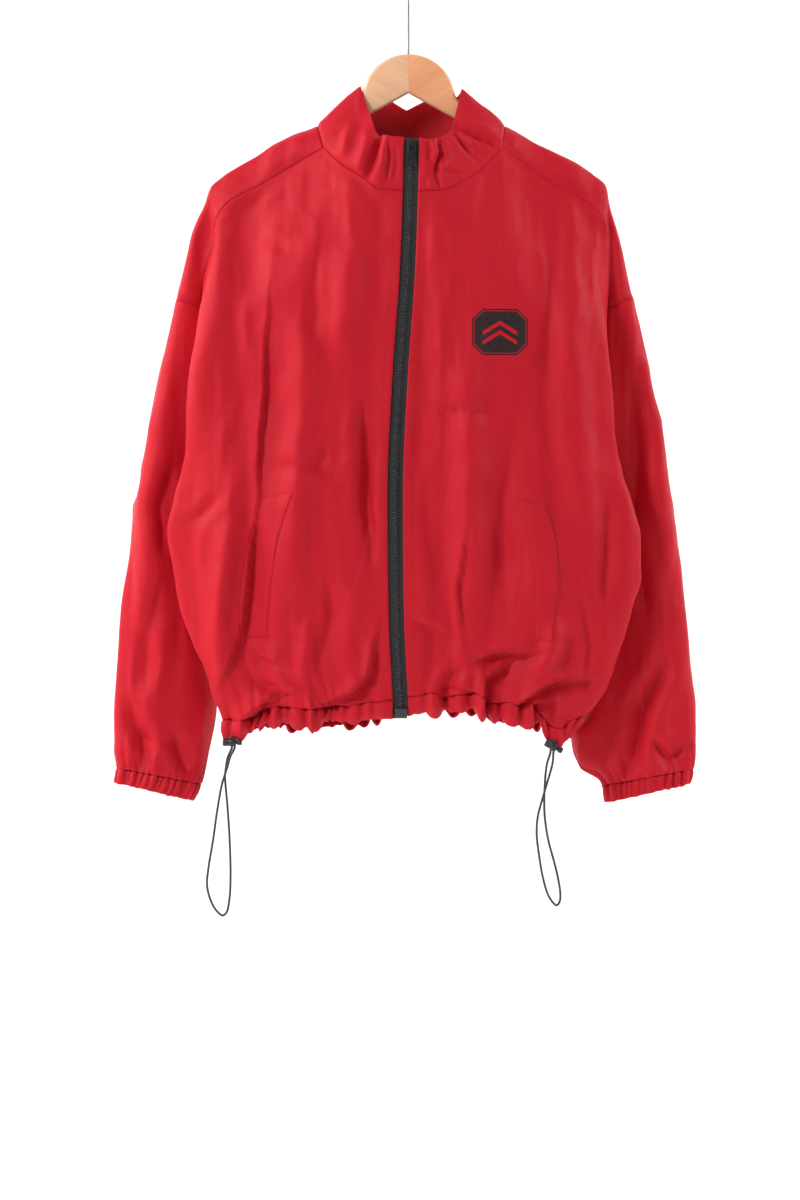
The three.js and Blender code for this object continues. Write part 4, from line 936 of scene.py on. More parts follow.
def hem_cloth(cloths):
    """The hem's casing, from the zip's left edge round the back to its right."""
    seam = round_the_hem({name: cloths[name].points[-1] for name in PANELS})
    t = np.linspace(0, 1, HEM_ROWS + 1)[:, None]
    inward = HEM_TUCK * (2 * t * t - t) - HEM_SWELL * 4 * t * (1 - t)
    share = np.sign(seam[:, 1]) * np.minimum(1, np.abs(seam[:, 1]) / HEM_SIDE_DEPTH)
    points = stack(seam[:, 0] + 0 * t, seam[:, 1] - share * inward, seam[:, 2] - HEM_HEIGHT * t)
    return Cloth(points, turned=True, t=t + 0 * seam[:, 0])


# ---------------------------------------------------------------- folds placed one by one

# Creases as (depth, width, route in x and z): a negative depth is a valley with rolled shoulders, a
# positive one a soft ridge.
FRONT_CREASES = [
    # left front
    (3.0, 15, [(-200, -301), (-206, -377), (-222, -482), (-230, -545)]),
    (-0.8, 6, [(-154, -330), (-141, -327), (-126, -330)]),
    (3.5, 13, [(-178, -552), (-189, -634), (-199, -728), (-200, -809)]),
    (3.5, 17, [(-112, -410), (-116, -520), (-120, -640), (-116, -720)]),
    (-1.8, 5, [(-100, -562), (-83, -549), (-66, -551)]),
    (-2.0, 5, [(-136, -561), (-105, -565), (-73, -571)]),
    (-3.0, 7, [(-47, -500), (-44, -544), (-43, -598), (-44, -634)]),
    (-2.0, 5, [(-37, -612), (-40, -640), (-43, -664)]),
    (-2.2, 5, [(-128, -808), (-140, -795), (-166, -789)]),
    (2.6, 11, [(-110, -722), (-104, -747), (-112, -790)]),
    (-2.0, 9, [(-84, -676), (-80, -720), (-92, -770)]),
    (-1.3, 5, [(-228, -620), (-214, -607), (-200, -594)]),
    (-1.6, 12, [(-92, -318), (-98, -372), (-96, -430)]),
    (2.0, 14, [(-62, -330), (-68, -400), (-72, -440)]),
    # right front
    (-2.6, 5, [(60, -772), (40, -796), (30, -826)]),
    (3.0, 10, [(166, -722), (152, -752), (134, -780)]),
    (-1.8, 9, [(46, -502), (64, -496), (88, -494)]),
    (2.4, 17, [(60, -420), (64, -560), (72, -700)]),
    (-2.2, 13, [(118, -500), (104, -590), (96, -690)]),
    (2.6, 17, [(168, -380), (176, -500), (180, -640)]),
    (-1.8, 11, [(150, -330), (152, -400), (148, -470)]),
    (-2.4, 8, [(206, -590), (214, -650), (208, -720)]),
    (-2.0, 7, [(186, -700), (196, -752), (186, -800)]),
    (1.8, 13, [(30, -300), (36, -420), (34, -520)]),
]
BACK_CREASES = [
    (3.4, 22, [(-60, -330), (-66, -520), (-72, -790)]),
    (-3.2, 15, [(-122, -360), (-130, -560), (-116, -800)]),
    (-3.4, 16, [(30, -400), (38, -600), (34, -810)]),
    (3.4, 20, [(96, -340), (108, -560), (104, -770)]),
    (-3.6, 12, [(160, -470), (146, -640), (132, -820)]),
    (-2.6, 9, [(-168, -520), (-158, -640), (-164, -780)]),
    (-2.4, 8, [(-30, -640), (-22, -720), (-34, -810)]),
    (-2.4, 7, [(-160, -750), (-120, -742), (-84, -756)]),
    (-2.2, 7, [(60, -700), (88, -716), (120, -706)]),
    (-2.0, 8, [(-120, -300), (-60, -316), (10, -312)]),
    (-3.4, 6, [(70, -772), (58, -800), (54, -832)]),
    (-3.0, 6, [(-96, -776), (-84, -806), (-90, -834)]),
]
SLEEVE_CREASES = [
    (-4.0, 8, [(280, -760), (262, -790), (249, -818), (240, -870), (228, -893)]),
    (-2.8, 6, [(262, -850), (281, -874), (306, -858)]),
    (-2.4, 7, [(228, -640), (246, -676), (254, -720)]),
    (2.4, 12, [(262, -440), (268, -560), (276, -680)]),
    (-2.2, 9, [(238, -470), (244, -560), (240, -620)]),
    (-2.6, 6, [(-249, -846), (-240, -866), (-232, -886)]),
    (-2.2, 6, [(-286, -838), (-280, -864), (-284, -888)]),
    (-1.8, 8, [(-262, -690), (-276, -740), (-280, -800)]),
    (2.2, 12, [(-256, -460), (-272, -600), (-286, -720)]),
    (-2.0, 7, [(-300, -812), (-290, -840), (-270, -858)]),
    (-2.0, 8, [(-250, -560), (-262, -610), (-264, -660)]),
]
SLEEVE_BACK_CREASES = [
    (-3.2, 8, [(290, -560), (262, -590), (236, -596)]),
    (-2.8, 8, [(292, -640), (262, -664), (232, -668)]),
    (-3.4, 9, [(262, -700), (258, -780), (266, -860)]),
    (2.6, 13, [(272, -430), (282, -540), (290, -700)]),
    (-3.2, 8, [(-296, -570), (-266, -598), (-238, -600)]),
    (-2.8, 8, [(-298, -668), (-268, -690), (-238, -688)]),
    (-3.2, 9, [(-260, -720), (-268, -790), (-262, -868)]),
    (2.6, 13, [(-268, -430), (-284, -540), (-296, -690)]),
]
CREASE_DEPTH, STEP_DEPTH, STEP_TURN = 3.1, 2.4, 1.9
# Overhanging folds as (rise, reach of the high side, of the low side, route); the low side
# lies to the left of the way the route runs.
COLLAR_STEPS = [
    (5.0, 16, 5.0, [(-34, -197), (-34, -213), (-40, -235), (-48, -262)]),
    (3.8, 7, 5.5, [(29, -208), (32, -230), (28, -245), (33, -272)]),
    (3.0, 14, 5.0, [(94, -219), (66, -205), (47, -196)]),
    (2.2, 8, 4.0, [(72, -234), (60, -216), (49, -200)]),
    (2.0, 6, 4.0, [(62, -250), (46, -249), (30, -246)]),
    (1.8, 5, 3.0, [(-23, -212), (-21, -240), (-24, -264)]),
]
FRONT_STEPS = [
    # left front
    (2.6, 20, 7, [(-147, -395), (-152, -463), (-157, -564), (-159, -600)]),
    (3.4, 22, 8, [(-163, -620), (-172, -697), (-177, -740), (-194, -782)]),
    (1.5, 8, 6, [(-55, -682), (-40, -623), (-42, -564), (-45, -500)]),
    (2.6, 11, 7, [(-128, -769), (-150, -766), (-168, -759)]),
    (4.4, 13, 6, [(-142, -804), (-161, -818), (-180, -835)]),
    (4.6, 15, 9, [(-35, -745), (-42, -783), (-58, -801), (-92, -812)]),
    (3.4, 9, 5, [(-101, -808), (-98, -836)]),
    (2.2, 8, 5, [(-40, -812), (-31, -833)]),
    (0.7, 9, 8, [(-50, -450), (-62, -455), (-74, -466)]),
    (1.8, 7, 5, [(-112, -806), (-126, -800), (-140, -808)]),
    # right front
    (4.4, 15, 8, [(134, -757), (111, -758), (94, -759), (76, -766)]),
    (5.2, 9, 6, [(108, -768), (84, -786), (80, -813), (83, -838)]),
    (5.0, 17, 8, [(186, -787), (155, -790), (136, -799), (119, -811), (98, -829)]),
    (3.4, 8, 5, [(155, -828), (154, -811), (139, -812), (124, -819)]),
    (2.6, 11, 6, [(74, -802), (61, -795), (42, -793)]),
    (2.6, 12, 7, [(53, -741), (30, -734), (8, -722)]),
    (2.0, 11, 8, [(84, -501), (62, -503), (42, -498)]),
    (2.2, 18, 10, [(60, -640), (52, -690), (58, -740)]),
]
COLLAR_CREASES = [
    (-2.6, 4.0, [(-36, -200), (-33, -214), (-47, -256)]),
    (-1.6, 3.0, [(-22, -214), (-20, -236), (-24, -262)]),
    (-1.4, 2.6, [(-14, -220), (-13, -242), (-16, -262)]),
    (-2.0, 4.0, [(46, -196), (66, -206), (95, -220)]),
    (-1.7, 3.4, [(47, -202), (58, -216), (70, -232)]),
    (-2.2, 2.8, [(30, -214), (34, -230), (29, -240), (28, -254), (34, -269)]),
    (-1.4, 3.0, [(22, -217), (23, -240), (21, -262)]),
    (1.6, 6.0, [(-60, -196), (-66, -220), (-72, -236)]),
]


CREASE_REACH = 5.0


def nearest_on_route(x, z, route):
    """Distance from a route, which side of it that is, and the share of its length passed."""
    lengths = np.linalg.norm(np.diff(route, axis=0), axis=1)
    best, side = np.full(x.shape, 1e9), np.zeros(x.shape)
    along, before = np.zeros(x.shape), 0.0
    for (x0, z0), (x1, z1), length in zip(route[:-1], route[1:], lengths):
        t = np.clip(((x - x0) * (x1 - x0) + (z - z0) * (z1 - z0)) / length ** 2, 0, 1)
        dx, dz = x - x0 - t * (x1 - x0), z - z0 - t * (z1 - z0)
        off = np.hypot(dx, dz)
        closer = off < best
        side = np.where(closer, np.sign(dz * (x1 - x0) - dx * (z1 - z0)), side)
        along = np.where(closer, (before + t * length) / lengths.sum(), along)
        best = np.minimum(best, off)
        before += length
    return best, side, along


def crease_push(x, z, depth, width, route):
    """How far one crease moves the cloth out at (x, z)."""
    route = np.array(route, float)
    low, high = route.min(0) - CREASE_REACH * width, route.max(0) + CREASE_REACH * width
    push = np.zeros(x.shape)
    near = (x > low[0]) & (x < high[0]) & (z > low[1]) & (z < high[1])
    off, _, along = nearest_on_route(x[near], z[near], route)
    taper = 1 - 0.85 * np.abs(2 * along - 1) ** 3
    r = off / width
    if depth > 0:
        shape = np.exp(-r * r)
    else:
        shape = 1.15 * np.exp(-np.sqrt(r * r + 0.02)) - 0.32 * np.exp(-(((r - 2.3) / 1.2) ** 2))
    push[near] = depth * taper * shape
    return push


def step_push(x, z, depth, high, low, route):
    """A fold that overhangs its low side: the cloth rises to the route and drops behind it."""
    off, side, along = nearest_on_route(x, z, np.array(route, float))
    taper = np.sin(np.pi * np.clip(along * 0.9 + 0.05, 0, 1)) ** 0.6
    above = np.exp(-off / high)
    below = -0.9 * np.exp(-off / low)
    turn = smoothstep(off * side, -STEP_TURN, STEP_TURN)
    return depth * taper * (below + (above - below) * (1 - turn))


def steps(points, table_of_steps, wander=1.6):
    """All the overhanging folds of a table at points."""
    x = points[..., 0] + wander * noise(points, (16, 45, 16), 13)
    z = points[..., 2] + wander * noise(points, (16, 45, 16), 14)
    return sum(step_push(x, z, *row) for row in table_of_steps)


def creases(points, table_of_creases, wander=3.0):
    """All the creases of a table at points, each a little off its drawn route."""
    x = points[..., 0] + wander * noise(points, (45, 45, 30), 11)
    z = points[..., 2] + wander * noise(points, (30, 45, 45), 12)
    return CREASE_DEPTH * sum(crease_push(x, z, *row) for row in table_of_creases)


def ridges(points, size, seed):
    """Noise folded about its middle: soft crests between sharp valleys."""
    return 0.5 - np.abs(noise(points, size, seed)) - 0.25


# Layers of the cloth's own folds as (height, kind, cell, seed): broad soft folds that run down,
# smaller ones across them, and the crumple of a crisp cloth.
FOLD_LAYERS = [
    (4.4, noise, (34, 70, 240), 22),
    (1.3, noise, (17, 34, 85), 23),
    (2.8, ridges, (26, 40, 60), 24),
    (0.9, ridges, (12, 20, 22), 25),
]
FOLD_DRIFT, FOLD_DRIFT_CELL = 9, (90, 90, 120)


def hanging_folds(points):
    """All the layers at points, each a little off the straight."""
    moved = points + stack(FOLD_DRIFT * noise(points, FOLD_DRIFT_CELL, 21), 0, 0)
    return sum(height * kind(moved, cell, seed) for height, kind, cell, seed in FOLD_LAYERS)


# ---------------------------------------------------------------- gathers

LONG_SHARE, SLANT, SLANT_HEIGHT, SPREAD_HEIGHT = 0.28, 0.35, 30, 26


def gather_stops(length, seed, spacing, depth, width, reach, long_reach, quiet=()):
    """Valleys along a drawn-in edge: place, depth, width, slant and how far up each runs."""
    rng = np.random.RandomState(seed)
    stops, at = [], rng.uniform(0, spacing[0])
    while at < length:
        is_long = rng.uniform() < LONG_SHARE
        run = rng.uniform(*long_reach) if is_long else rng.uniform(*reach)
        calm = min([1.0, *(smoothstep(abs(at - place), half, 2 * half) for place, half in quiet)])
        size = (0.25 + 0.75 * calm) * rng.uniform(*depth)
        stops.append((at, size, rng.uniform(*width), rng.uniform(-SLANT, SLANT), run))
        at += rng.uniform(*spacing)
    return stops


def gather_push(s, up, stops, length):
    """Push of the valleys at s along the edge and "up" above its seam, on a closed loop."""
    push = np.zeros(s.shape)
    above, below = np.maximum(up, 0), np.maximum(-up, 0)
    for at, depth, width, slant, reach in stops:
        off = s - at - slant * np.minimum(above, SLANT_HEIGHT) + 0.4 * slant * below
        off = (off + length / 2) % length - length / 2
        spread = width * (1 + above / SPREAD_HEIGHT)
        valley = np.exp(-np.sqrt((off / spread) ** 2 + 0.04)) * 1.22 * np.exp(-above / reach)
        push -= depth * valley
    return push


def lobes(s, stops, length):
    """Rounded rolls between neighbouring valleys of a drawn-in edge, 0 on each valley."""
    places = np.array([stop[0] for stop in stops])
    places = np.concatenate([places, [places[0] + length]])
    s = np.where(s < places[0], s + length, s)
    k = np.clip(np.searchsorted(places, s, side="right") - 1, 0, len(stops) - 1)
    gap = places[k + 1] - places[k]
    uneven = [0.35 + 1.3 * ((37 * i * i + 11 * i) % 19) / 18 for i in range(len(stops))]
    size = np.array([stop[1] * share for stop, share in zip(stops, uneven)])
    share = np.clip((s - places[k]) / gap, 0, 1)
    return size[k] * np.clip(gap / 12, 0.4, 1.2) * np.sin(np.pi * share) ** 0.65


# ---------------------------------------------------------------- shaping the cloth

LOCK_CLEAR, NO_SEAM = 15.0, 99.0
ROLL, CASING_GROOVE = 0.42, 0.1


def groove(distance, depth=0.55, width=1.5):
    """The dip along a seam."""
    return -depth * np.exp(-((distance / width) ** 2))


def pucker(points, distance, size=0.55):
    """Small ripples beside a seam, none on it."""
    ripple = noise(points, (6.5, 12, 6.5), 31)
    return size * ripple * np.exp(-distance / 8) * (1 - np.exp(-distance / 1.6))


SWAY, SWAY_CELL, BACK_RAISE, CORNER_DRAW = (1.4, 1.6, 1.2), (70, 80, 60), 15, 14


def sway(points):
    """A small drift of the whole garment, the raised back of the hem and its drawn-in right corner."""
    zip_share = smoothstep(np.abs(points[..., 0] - zip_x(points[..., 2])), 12, 60)
    below = 0.25 + 0.75 * smoothstep(-points[..., 2], 290, 360)
    share = (zip_share * below)[..., None]
    drift = stack(*(noise(points, SWAY_CELL, seed) for seed in (41, 42, 43)))
    points = points + share * drift * np.array(SWAY)
    x, y, z = (points[..., k] for k in range(3))
    behind = smoothstep(y, -10, 15) * smoothstep(x, -45, -5) * (1 - smoothstep(x, 70, 105))
    raised = BACK_RAISE * behind * smoothstep(-z, 720, 812)
    drawn_in = CORNER_DRAW * smoothstep(x, 166, 190) * (1 - smoothstep(x, 196, 204))
    drawn_in = drawn_in * smoothstep(-z, 822, 847)
    return points + stack(-drawn_in, 0, raised)


def hem_reach(cloths):
    """The hem's run from the zip's left edge round the back, for the foot of each panel."""
    run = cloths["hem"].from_start[0]
    reach = {}
    for number, name in enumerate(PANELS):
        part = run[number * COLUMNS:(number + 1) * COLUMNS + 1]
        reach[name] = part[::-1] if name in ("back_left", "front_right") else part
    return reach, run[-1]


def near_locks(points):
    """1 beside a cord lock, falling to 0 away from it."""
    near = np.zeros(points.shape[:-1])
    for cord in CORDS.values():
        far = np.linalg.norm(points - np.array(cord["lock"]), axis=-1)
        near = np.maximum(near, np.exp(-((far / LOCK_CLEAR) ** 2)))
    return near


def seam_drift(s, length, free):
    """How far the casing's seam rides up and down between the gathers."""
    end = smoothstep(np.minimum(s, length - s), 0, 18)
    return free * end * (3.0 * wave(s, 0, 32, 57) + 1.6 * wave(s, 0, 12, 58))


def side_ease(u):
    """Less of the gathers towards the side seams."""
    return 1 - 0.6 * smoothstep(u, EDGE_AT, 1)


def panel_folds(cloth, is_front, from_zip):
    """The hanging folds, creases and overhanging folds of a panel, quiet beside its seams."""
    p, u = cloth.points, cloth.fields["u"]
    calm = smoothstep(cloth.from_top, 0, 22) * (1 - smoothstep(u, EDGE_AT + 0.03, 1))
    calm = calm * (0.12 + 0.88 * smoothstep(from_zip, 2, 26))
    calm = calm * (0.35 + 0.65 * smoothstep(cloth.from_foot, 0, 30))
    clear = smoothstep(cloth.from_top, 0, 14) * (1 - smoothstep(u, EDGE_AT + 0.05, 1))
    folds = creases(p, FRONT_CREASES if is_front else BACK_CREASES)
    if is_front:
        folds = folds + STEP_DEPTH * steps(p, FRONT_STEPS)
    return calm * hanging_folds(p) + clear * (0.3 + 0.7 * smoothstep(from_zip, 3, 16)) * folds


def shape_panel(cloth, is_front, stops, s, length):
    """A front or half of the back; s is its foot's place along the hem."""
    p, u = cloth.points, cloth.fields["u"]
    to_seam = np.where((u > NECK_END) | is_front, cloth.from_top, NO_SEAM)
    from_zip = cloth.from_start if is_front else NO_SEAM
    push = panel_folds(cloth, is_front, from_zip)
    push += groove(to_seam) + pucker(p, np.minimum(to_seam, np.broadcast_to(from_zip, u.shape)))
    s = np.broadcast_to(s, u.shape)
    ease, away = side_ease(u), 1 - near_locks(p)
    gathered = gather_push(s, cloth.from_foot, stops, length)
    rolls = ROLL * 0.5 * lobes(s, stops, length) * np.exp(-cloth.from_foot / 24)
    push += (gathered + rolls) * ease * away
    push += groove(cloth.from_foot, CASING_GROOVE, 1.3)
    cloth.push = push
    cloth.lift = seam_drift(s, length, ease * away) * np.exp(-cloth.from_foot / 14)


def shape_hem(cloths, stops, length):
    """The casing carries on the panels' folds and swells into rolls between the gathers."""
    cloth = cloths["hem"]
    p, t = cloth.points, cloth.fields["t"]
    carried = round_the_hem({name: cloths[name].push[-1] for name in PANELS})
    s = np.broadcast_to(cloth.from_start[0], t.shape)
    below = HEM_HEIGHT * t
    ease = side_ease(np.linspace(0, 1, COLUMNS + 1))
    free = (1 - near_locks(p)) * round_the_hem(dict.fromkeys(PANELS, ease))
    end = smoothstep(np.minimum(cloth.from_start[0], cloth.from_end[0]), 0, 9)
    crumple = noise(p, (7, 9, 6), 51) * smoothstep(below, 0, 6)
    roll = lobes(s, stops, length)
    puff = ROLL * roll * (0.5 + 0.5 * np.sin(np.pi * np.clip(t, 0, 1)) ** 0.8 - 0.4 * t * t)
    at_seam = (gather_push(s, -below, stops, length) + puff) * free
    lower = (at_seam + 0.6 * crumple) * (0.25 + 0.75 * end)
    cloth.push = lower + (at_seam - lower) * np.exp(-below / 2)
    cloth.push += carried * (1 - 0.35 * t) + groove(below, CASING_GROOVE, 1.3)
    scallop = 0.75 * free * (2.0 - roll) - 1.2 * wave(s, 0, 30, 53) - 0.8 * wave(s, 0, 9, 54)
    cloth.lift = scallop * end * t * t + seam_drift(s, length, free) * (1 - 0.5 * t)


def shape_yoke(cloth):
    """The back's wrap over a shoulder, down to the armhole."""
    p, w = cloth.points, cloth.fields["w"]
    to_seam = cloth.from_start
    calm = smoothstep(to_seam, 0, 14) * smoothstep(cloth.from_top, 0, 14)
    calm = calm * smoothstep(cloth.from_foot, 0, 10)
    calm = calm * (0.45 + 0.55 * smoothstep(np.abs(w - 0.5), 0.02, 0.2))
    blend = smoothstep(cloth.from_end, 0, 22)
    cloth.push = 0.75 * calm * blend * hanging_folds(p)
    seams = np.minimum(to_seam, np.minimum(cloth.from_top, cloth.from_foot))
    cloth.push += groove(seams) + pucker(p, seams)
    cloth.lift = 0 * w


def shape_sleeve(cloth, stops, length):
    """A sleeve: hanging folds, creases on each face and the cuff's gathers."""
    p, w = cloth.points, cloth.fields["w"]
    sides = smoothstep(w, 0, 0.10) * smoothstep(1 - w, 0, 0.10)
    calm = smoothstep(cloth.from_top, 0, 20) * (0.3 + 0.7 * smoothstep(cloth.from_foot, 0, 30))
    front = 1 - smoothstep(w, 0.42, 0.58)
    push = calm * sides * hanging_folds(p)
    push += sides * smoothstep(cloth.from_top, 0, 14) * (
        front * creases(p, SLEEVE_CREASES) + (1 - front) * creases(p, SLEEVE_BACK_CREASES)
    )
    s = np.broadcast_to(cloth.from_start[-1], w.shape)
    gathered = gather_push(s, cloth.from_foot, stops, length)
    rolls = 0.3 * lobes(s, stops, length) * np.exp(-cloth.from_foot / 20)
    push += gathered + rolls + groove(cloth.from_top) + pucker(p, cloth.from_top)
    push += groove(cloth.from_foot, 0.5, 1.5)
    outer_line = np.exp(-((w - 0.5) / 0.05) ** 2)
    push *= 1 - 0.7 * outer_line * smoothstep(cloth.from_foot, 20, 60)
    cloth.push, cloth.lift = push, 0 * push


def shape_cuff(cloth, carried, stops, length):
    """The cuff carries on the sleeve's folds and fades them to its edge."""
    p = cloth.points
    s = np.broadcast_to(cloth.from_start[0], p.shape[:2])
    below = cloth.from_top
    gathered = gather_push(s, -below, stops, length)
    down = np.clip(below / below[-1:], 0, 1)
    roll = lobes(s, stops, length)
    puff = 0.3 * roll + (0.6 + 0.35 * roll) * np.sin(np.pi * down) ** 0.7
    crumple = 0.5 * noise(p, (5, 8, 5), 61) * smoothstep(below, 0, 5)
    cloth.push = carried * (1 - 0.6 * down) + gathered + puff + crumple + groove(below, 0.5, 1.5)
    cloth.lift = 0.6 * (1.2 - roll) * down ** 2


def shape_collar(cloth):
    """The collar's folds beside the zip, and a soft crumple all round."""
    p = cloth.points
    t = cloth.fields["t"]
    ends = smoothstep(np.minimum(cloth.from_start, cloth.from_end), 1, 9)
    front = 1 - smoothstep(p[..., 1], 4, 20)
    folds = steps(p, COLLAR_STEPS, 0.8) + creases(p, COLLAR_CREASES, 1.2)
    push = front * ends * folds * smoothstep(cloth.from_top, 0, 5)
    crumple = 1.2 * noise(p, (26, 26, 60), 72) + 1.2 * ridges(p, (15, 15, 22), 71)
    push += ends * smoothstep(cloth.from_top, 0, 8) * crumple
    push += groove(cloth.from_top) + pucker(p, np.minimum(cloth.from_top, cloth.from_foot))
    cloth.push = push
    cloth.lift = 0.9 * wave(cloth.from_start, 0, 22, 73) * ends * t ** 3


def shape_cloths(cloths):
    """Folds all the cloth: each grid's moves are found first, then made together."""
    reach, length = hem_reach(cloths)
    hem_stops = gather_stops(
        length, 5, (6, 22), (1.2, 5.0), (1.8, 4.8), (14, 44), (50, 150), quiet=((0, 18), (length, 14)),
    )
    for name in PANELS:
        shape_panel(cloths[name], name.startswith("front"), hem_stops, reach[name], length)
    shape_hem(cloths, hem_stops, length)
    for seed, side in ((15, "left"), (16, "right")):
        sleeve, cuff = cloths[f"sleeve_{side}"], cloths[f"cuff_{side}"]
        around = cuff.from_start[0, -1]
        stops = gather_stops(around, seed, (4, 13), (0.8, 3.0), (1.2, 2.8), (14, 40), (50, 140))
        shape_yoke(cloths[f"yoke_{side}"])
        shape_sleeve(sleeve, stops, around)
        shape_cuff(cuff, sleeve.push[-1], stops, around)
    shape_collar(cloths["collar"])
    everything = list(cloths.values())
    for cloth in everything:
        cloth.points = sway(cloth.points)
    share_normals(everything)
    for cloth in everything:
        cloth.points = cloth.points + cloth.normals * cloth.push[..., None]
        cloth.points[..., 2] += cloth.lift
    share_normals(everything)


# ---------------------------------------------------------------- cloth meshes

# The turns of a folded edge, in degrees from the outer face.
FOLD_TURNS = [25, 55, 90, 125, 155, 180]


def folded_over(cloth, thick):
    """The grid carried on round its last row and back up inside, as a band sewn double."""
    p, n = cloth.points, cloth.normals
    down = unit(p[-1] - p[-3])
    r = thick / 2
    rows = [p]
    for angle in np.radians(FOLD_TURNS):
        turned = n[-1] * math.cos(angle) + down * math.sin(angle)
        rows.append((p[-1] - n[-1] * r + turned * r)[None])
    rows.append((p - n * thick)[::-1][1:])
    return np.concatenate(rows)


def grid_faces(shape, turned):
    """The quads of a grid of points."""
    rows, columns = shape
    i, j = np.meshgrid(np.arange(rows - 1), np.arange(columns - 1), indexing="ij")
    a = (i * columns + j).reshape(-1)
    quads = np.stack([a, a + columns, a + columns + 1, a + 1], axis=1)
    return quads[:, ::-1] if turned else quads


def cloth_mesh(name, parts):
    """A mesh welded from grids, with the weave's run across and down as its UV."""
    first, ids = meeting_points([part["base"] for part in parts])
    points = np.concatenate([part["points"].reshape(-1, 3) for part in parts])
    uv = np.concatenate([part["uv"].reshape(-1, 2) for part in parts])
    faces, start = [], 0
    for part in parts:
        shape = part["points"].shape[:2]
        faces.append(grid_faces(shape, part["turned"]) + start)
        start += shape[0] * shape[1]
    corners = np.concatenate(faces)
    welded = ids[corners]
    kept_faces, kept_uv = [], []
    for face, source in zip(welded.tolist(), corners.tolist()):
        loop = [(v, c) for k, (v, c) in enumerate(zip(face, source)) if v != face[k - 1]]
        if len(loop) > 2:
            kept_faces.append([v for v, _ in loop])
            kept_uv.extend(c for _, c in loop)
    mesh = bpy.data.meshes.new(name)
    mesh.from_pydata((points[first] * MM).tolist(), [], kept_faces)
    layer = mesh.uv_layers.new(name="weave")
    layer.data.foreach_set("uv", (uv[kept_uv] * MM).reshape(-1).astype(np.float32))
    mesh.update()
    return mesh


def plain_part(cloth, flip_u=False, shift=(0, 0)):
    """A grid as it is, for cloth_mesh."""
    across = -cloth.from_start if flip_u else cloth.from_start
    uv = np.stack([across + shift[0], cloth.from_top + shift[1]], axis=-1)
    return {"points": cloth.points, "base": cloth.base, "turned": cloth.turned, "uv": uv}


def double_part(cloth, thick):
    """A band folded double. Each row of its inside has its own place, so only its ends can meet."""
    points = folded_over(cloth, thick)
    base = points.copy()
    base[:cloth.base.shape[0]] = cloth.base
    if np.allclose(cloth.base[:, 0], cloth.base[:, -1], atol=0.01):
        base[:, -1] = base[:, 0]
        points[:, -1] = points[:, 0]
    across = np.broadcast_to(cloth.from_start[0], points.shape[:2])
    uv = np.stack([across, run_along(points)], axis=-1)
    return {"points": points, "base": base, "turned": cloth.turned, "uv": uv}


def add_cloth(name, parts, material, thick, slot="nylon"):
    """A thin shell of cloth in place of the solid of that name."""
    obj = add_object(f"cloth_{name}", cloth_mesh(name, parts), material, replaces=(name,), slot=slot)
    shell = obj.modifiers.new("cloth", "SOLIDIFY")
    shell.thickness = thick * MM
    shell.offset = -1


# Each piece's cut: width and length of its rectangle, and its own area, in metres.
CUTS = {
    "front_left": ((0.27, 0.61), 0.150),
    "front_right": ((0.27, 0.61), 0.150),
    "back": ((0.62, 0.72), 0.305),
    "collar": ((0.44, 0.13), None),
    "hem_casing": ((1.00, 0.054), None),
    "sleeve_left": ((0.26, 0.52), 0.104),
    "sleeve_right": ((0.26, 0.52), 0.104),
    "cuff_left": ((0.25, 0.047), None),
    "cuff_right": ((0.25, 0.047), None),
    "pocket_welt_left": ((0.031, 0.158), None),
    "pocket_welt_right": ((0.026, 0.150), None),
    "zip_tape_left": ((0.0122, 0.62), None),
    "zip_tape_right": ((0.0122, 0.62), None),
}
# Thickness of one layer of cloth, of each layer of a folded band, and across a folded band.
SINGLE, LAYER, WELT_THICK = 0.55, 0.3, 0.5
BANDS = {"collar": 1.9, "hem_casing": 2.6, "cuff_left": 2.4, "cuff_right": 2.4}
YOKE_WEAVE = (50, 300)


def make_cloth_objects(cloths, red, badged):
    """The body, sleeves, collar, casing and cuffs, in the order of their cuts."""
    singles = {
        name: [plain_part(cloths[name], flip_u=name.endswith("left"))]
        for name in ("front_left", "front_right", "sleeve_left", "sleeve_right")
    }
    singles["back"] = [
        plain_part(cloths["back_left"], flip_u=True),
        plain_part(cloths["back_right"]),
        plain_part(cloths["yoke_left"], shift=YOKE_WEAVE),
        plain_part(cloths["yoke_right"], shift=YOKE_WEAVE),
    ]
    for name in CUTS:
        if name in singles:
            material = badged if name == "front_right" else red
            add_cloth(name, singles[name], material, SINGLE)
        elif name in BANDS:
            band = cloths["hem" if name == "hem_casing" else name]
            add_cloth(name, [double_part(band, BANDS[name])], red, LAYER)


# ---------------------------------------------------------------- stitches

STITCH_PITCH, STITCH_LENGTH, STITCH_RADIUS = 3.3, 2.4, 0.2
STITCH_SIDES, STEPS_PER_PITCH = 5, 12
# A stitch's rings: share of its length, share of its radius and height over the cloth.
STITCH_RINGS = [
    (0.0, 0.35, -0.16), (0.12, 0.85, 0.10), (0.5, 1.0, 0.20), (0.88, 0.85, 0.10), (1.0, 0.35, -0.16),
]


def beside(cloth, edge, gap):
    """Points and normals of the line on the cloth that runs at a distance from one of its edges."""
    down = edge in ("top", "foot")
    field = getattr(cloth, f"from_{edge}")
    lines = field.T if down else field
    count = np.arange(lines.shape[1])
    rising = lines[:, -1].sum() > lines[:, 0].sum()
    at = np.array([np.interp(gap, line if rising else line[::-1], count) for line in lines])
    at = at if rising else lines.shape[1] - 1 - at
    index = np.arange(len(lines))
    return cloth.at(at, index) if down else cloth.at(index, at)


def cut_short(line, first=0, last=None):
    """A line's points and normals without some of those at its ends."""
    return line[0][first:last], line[1][first:last]


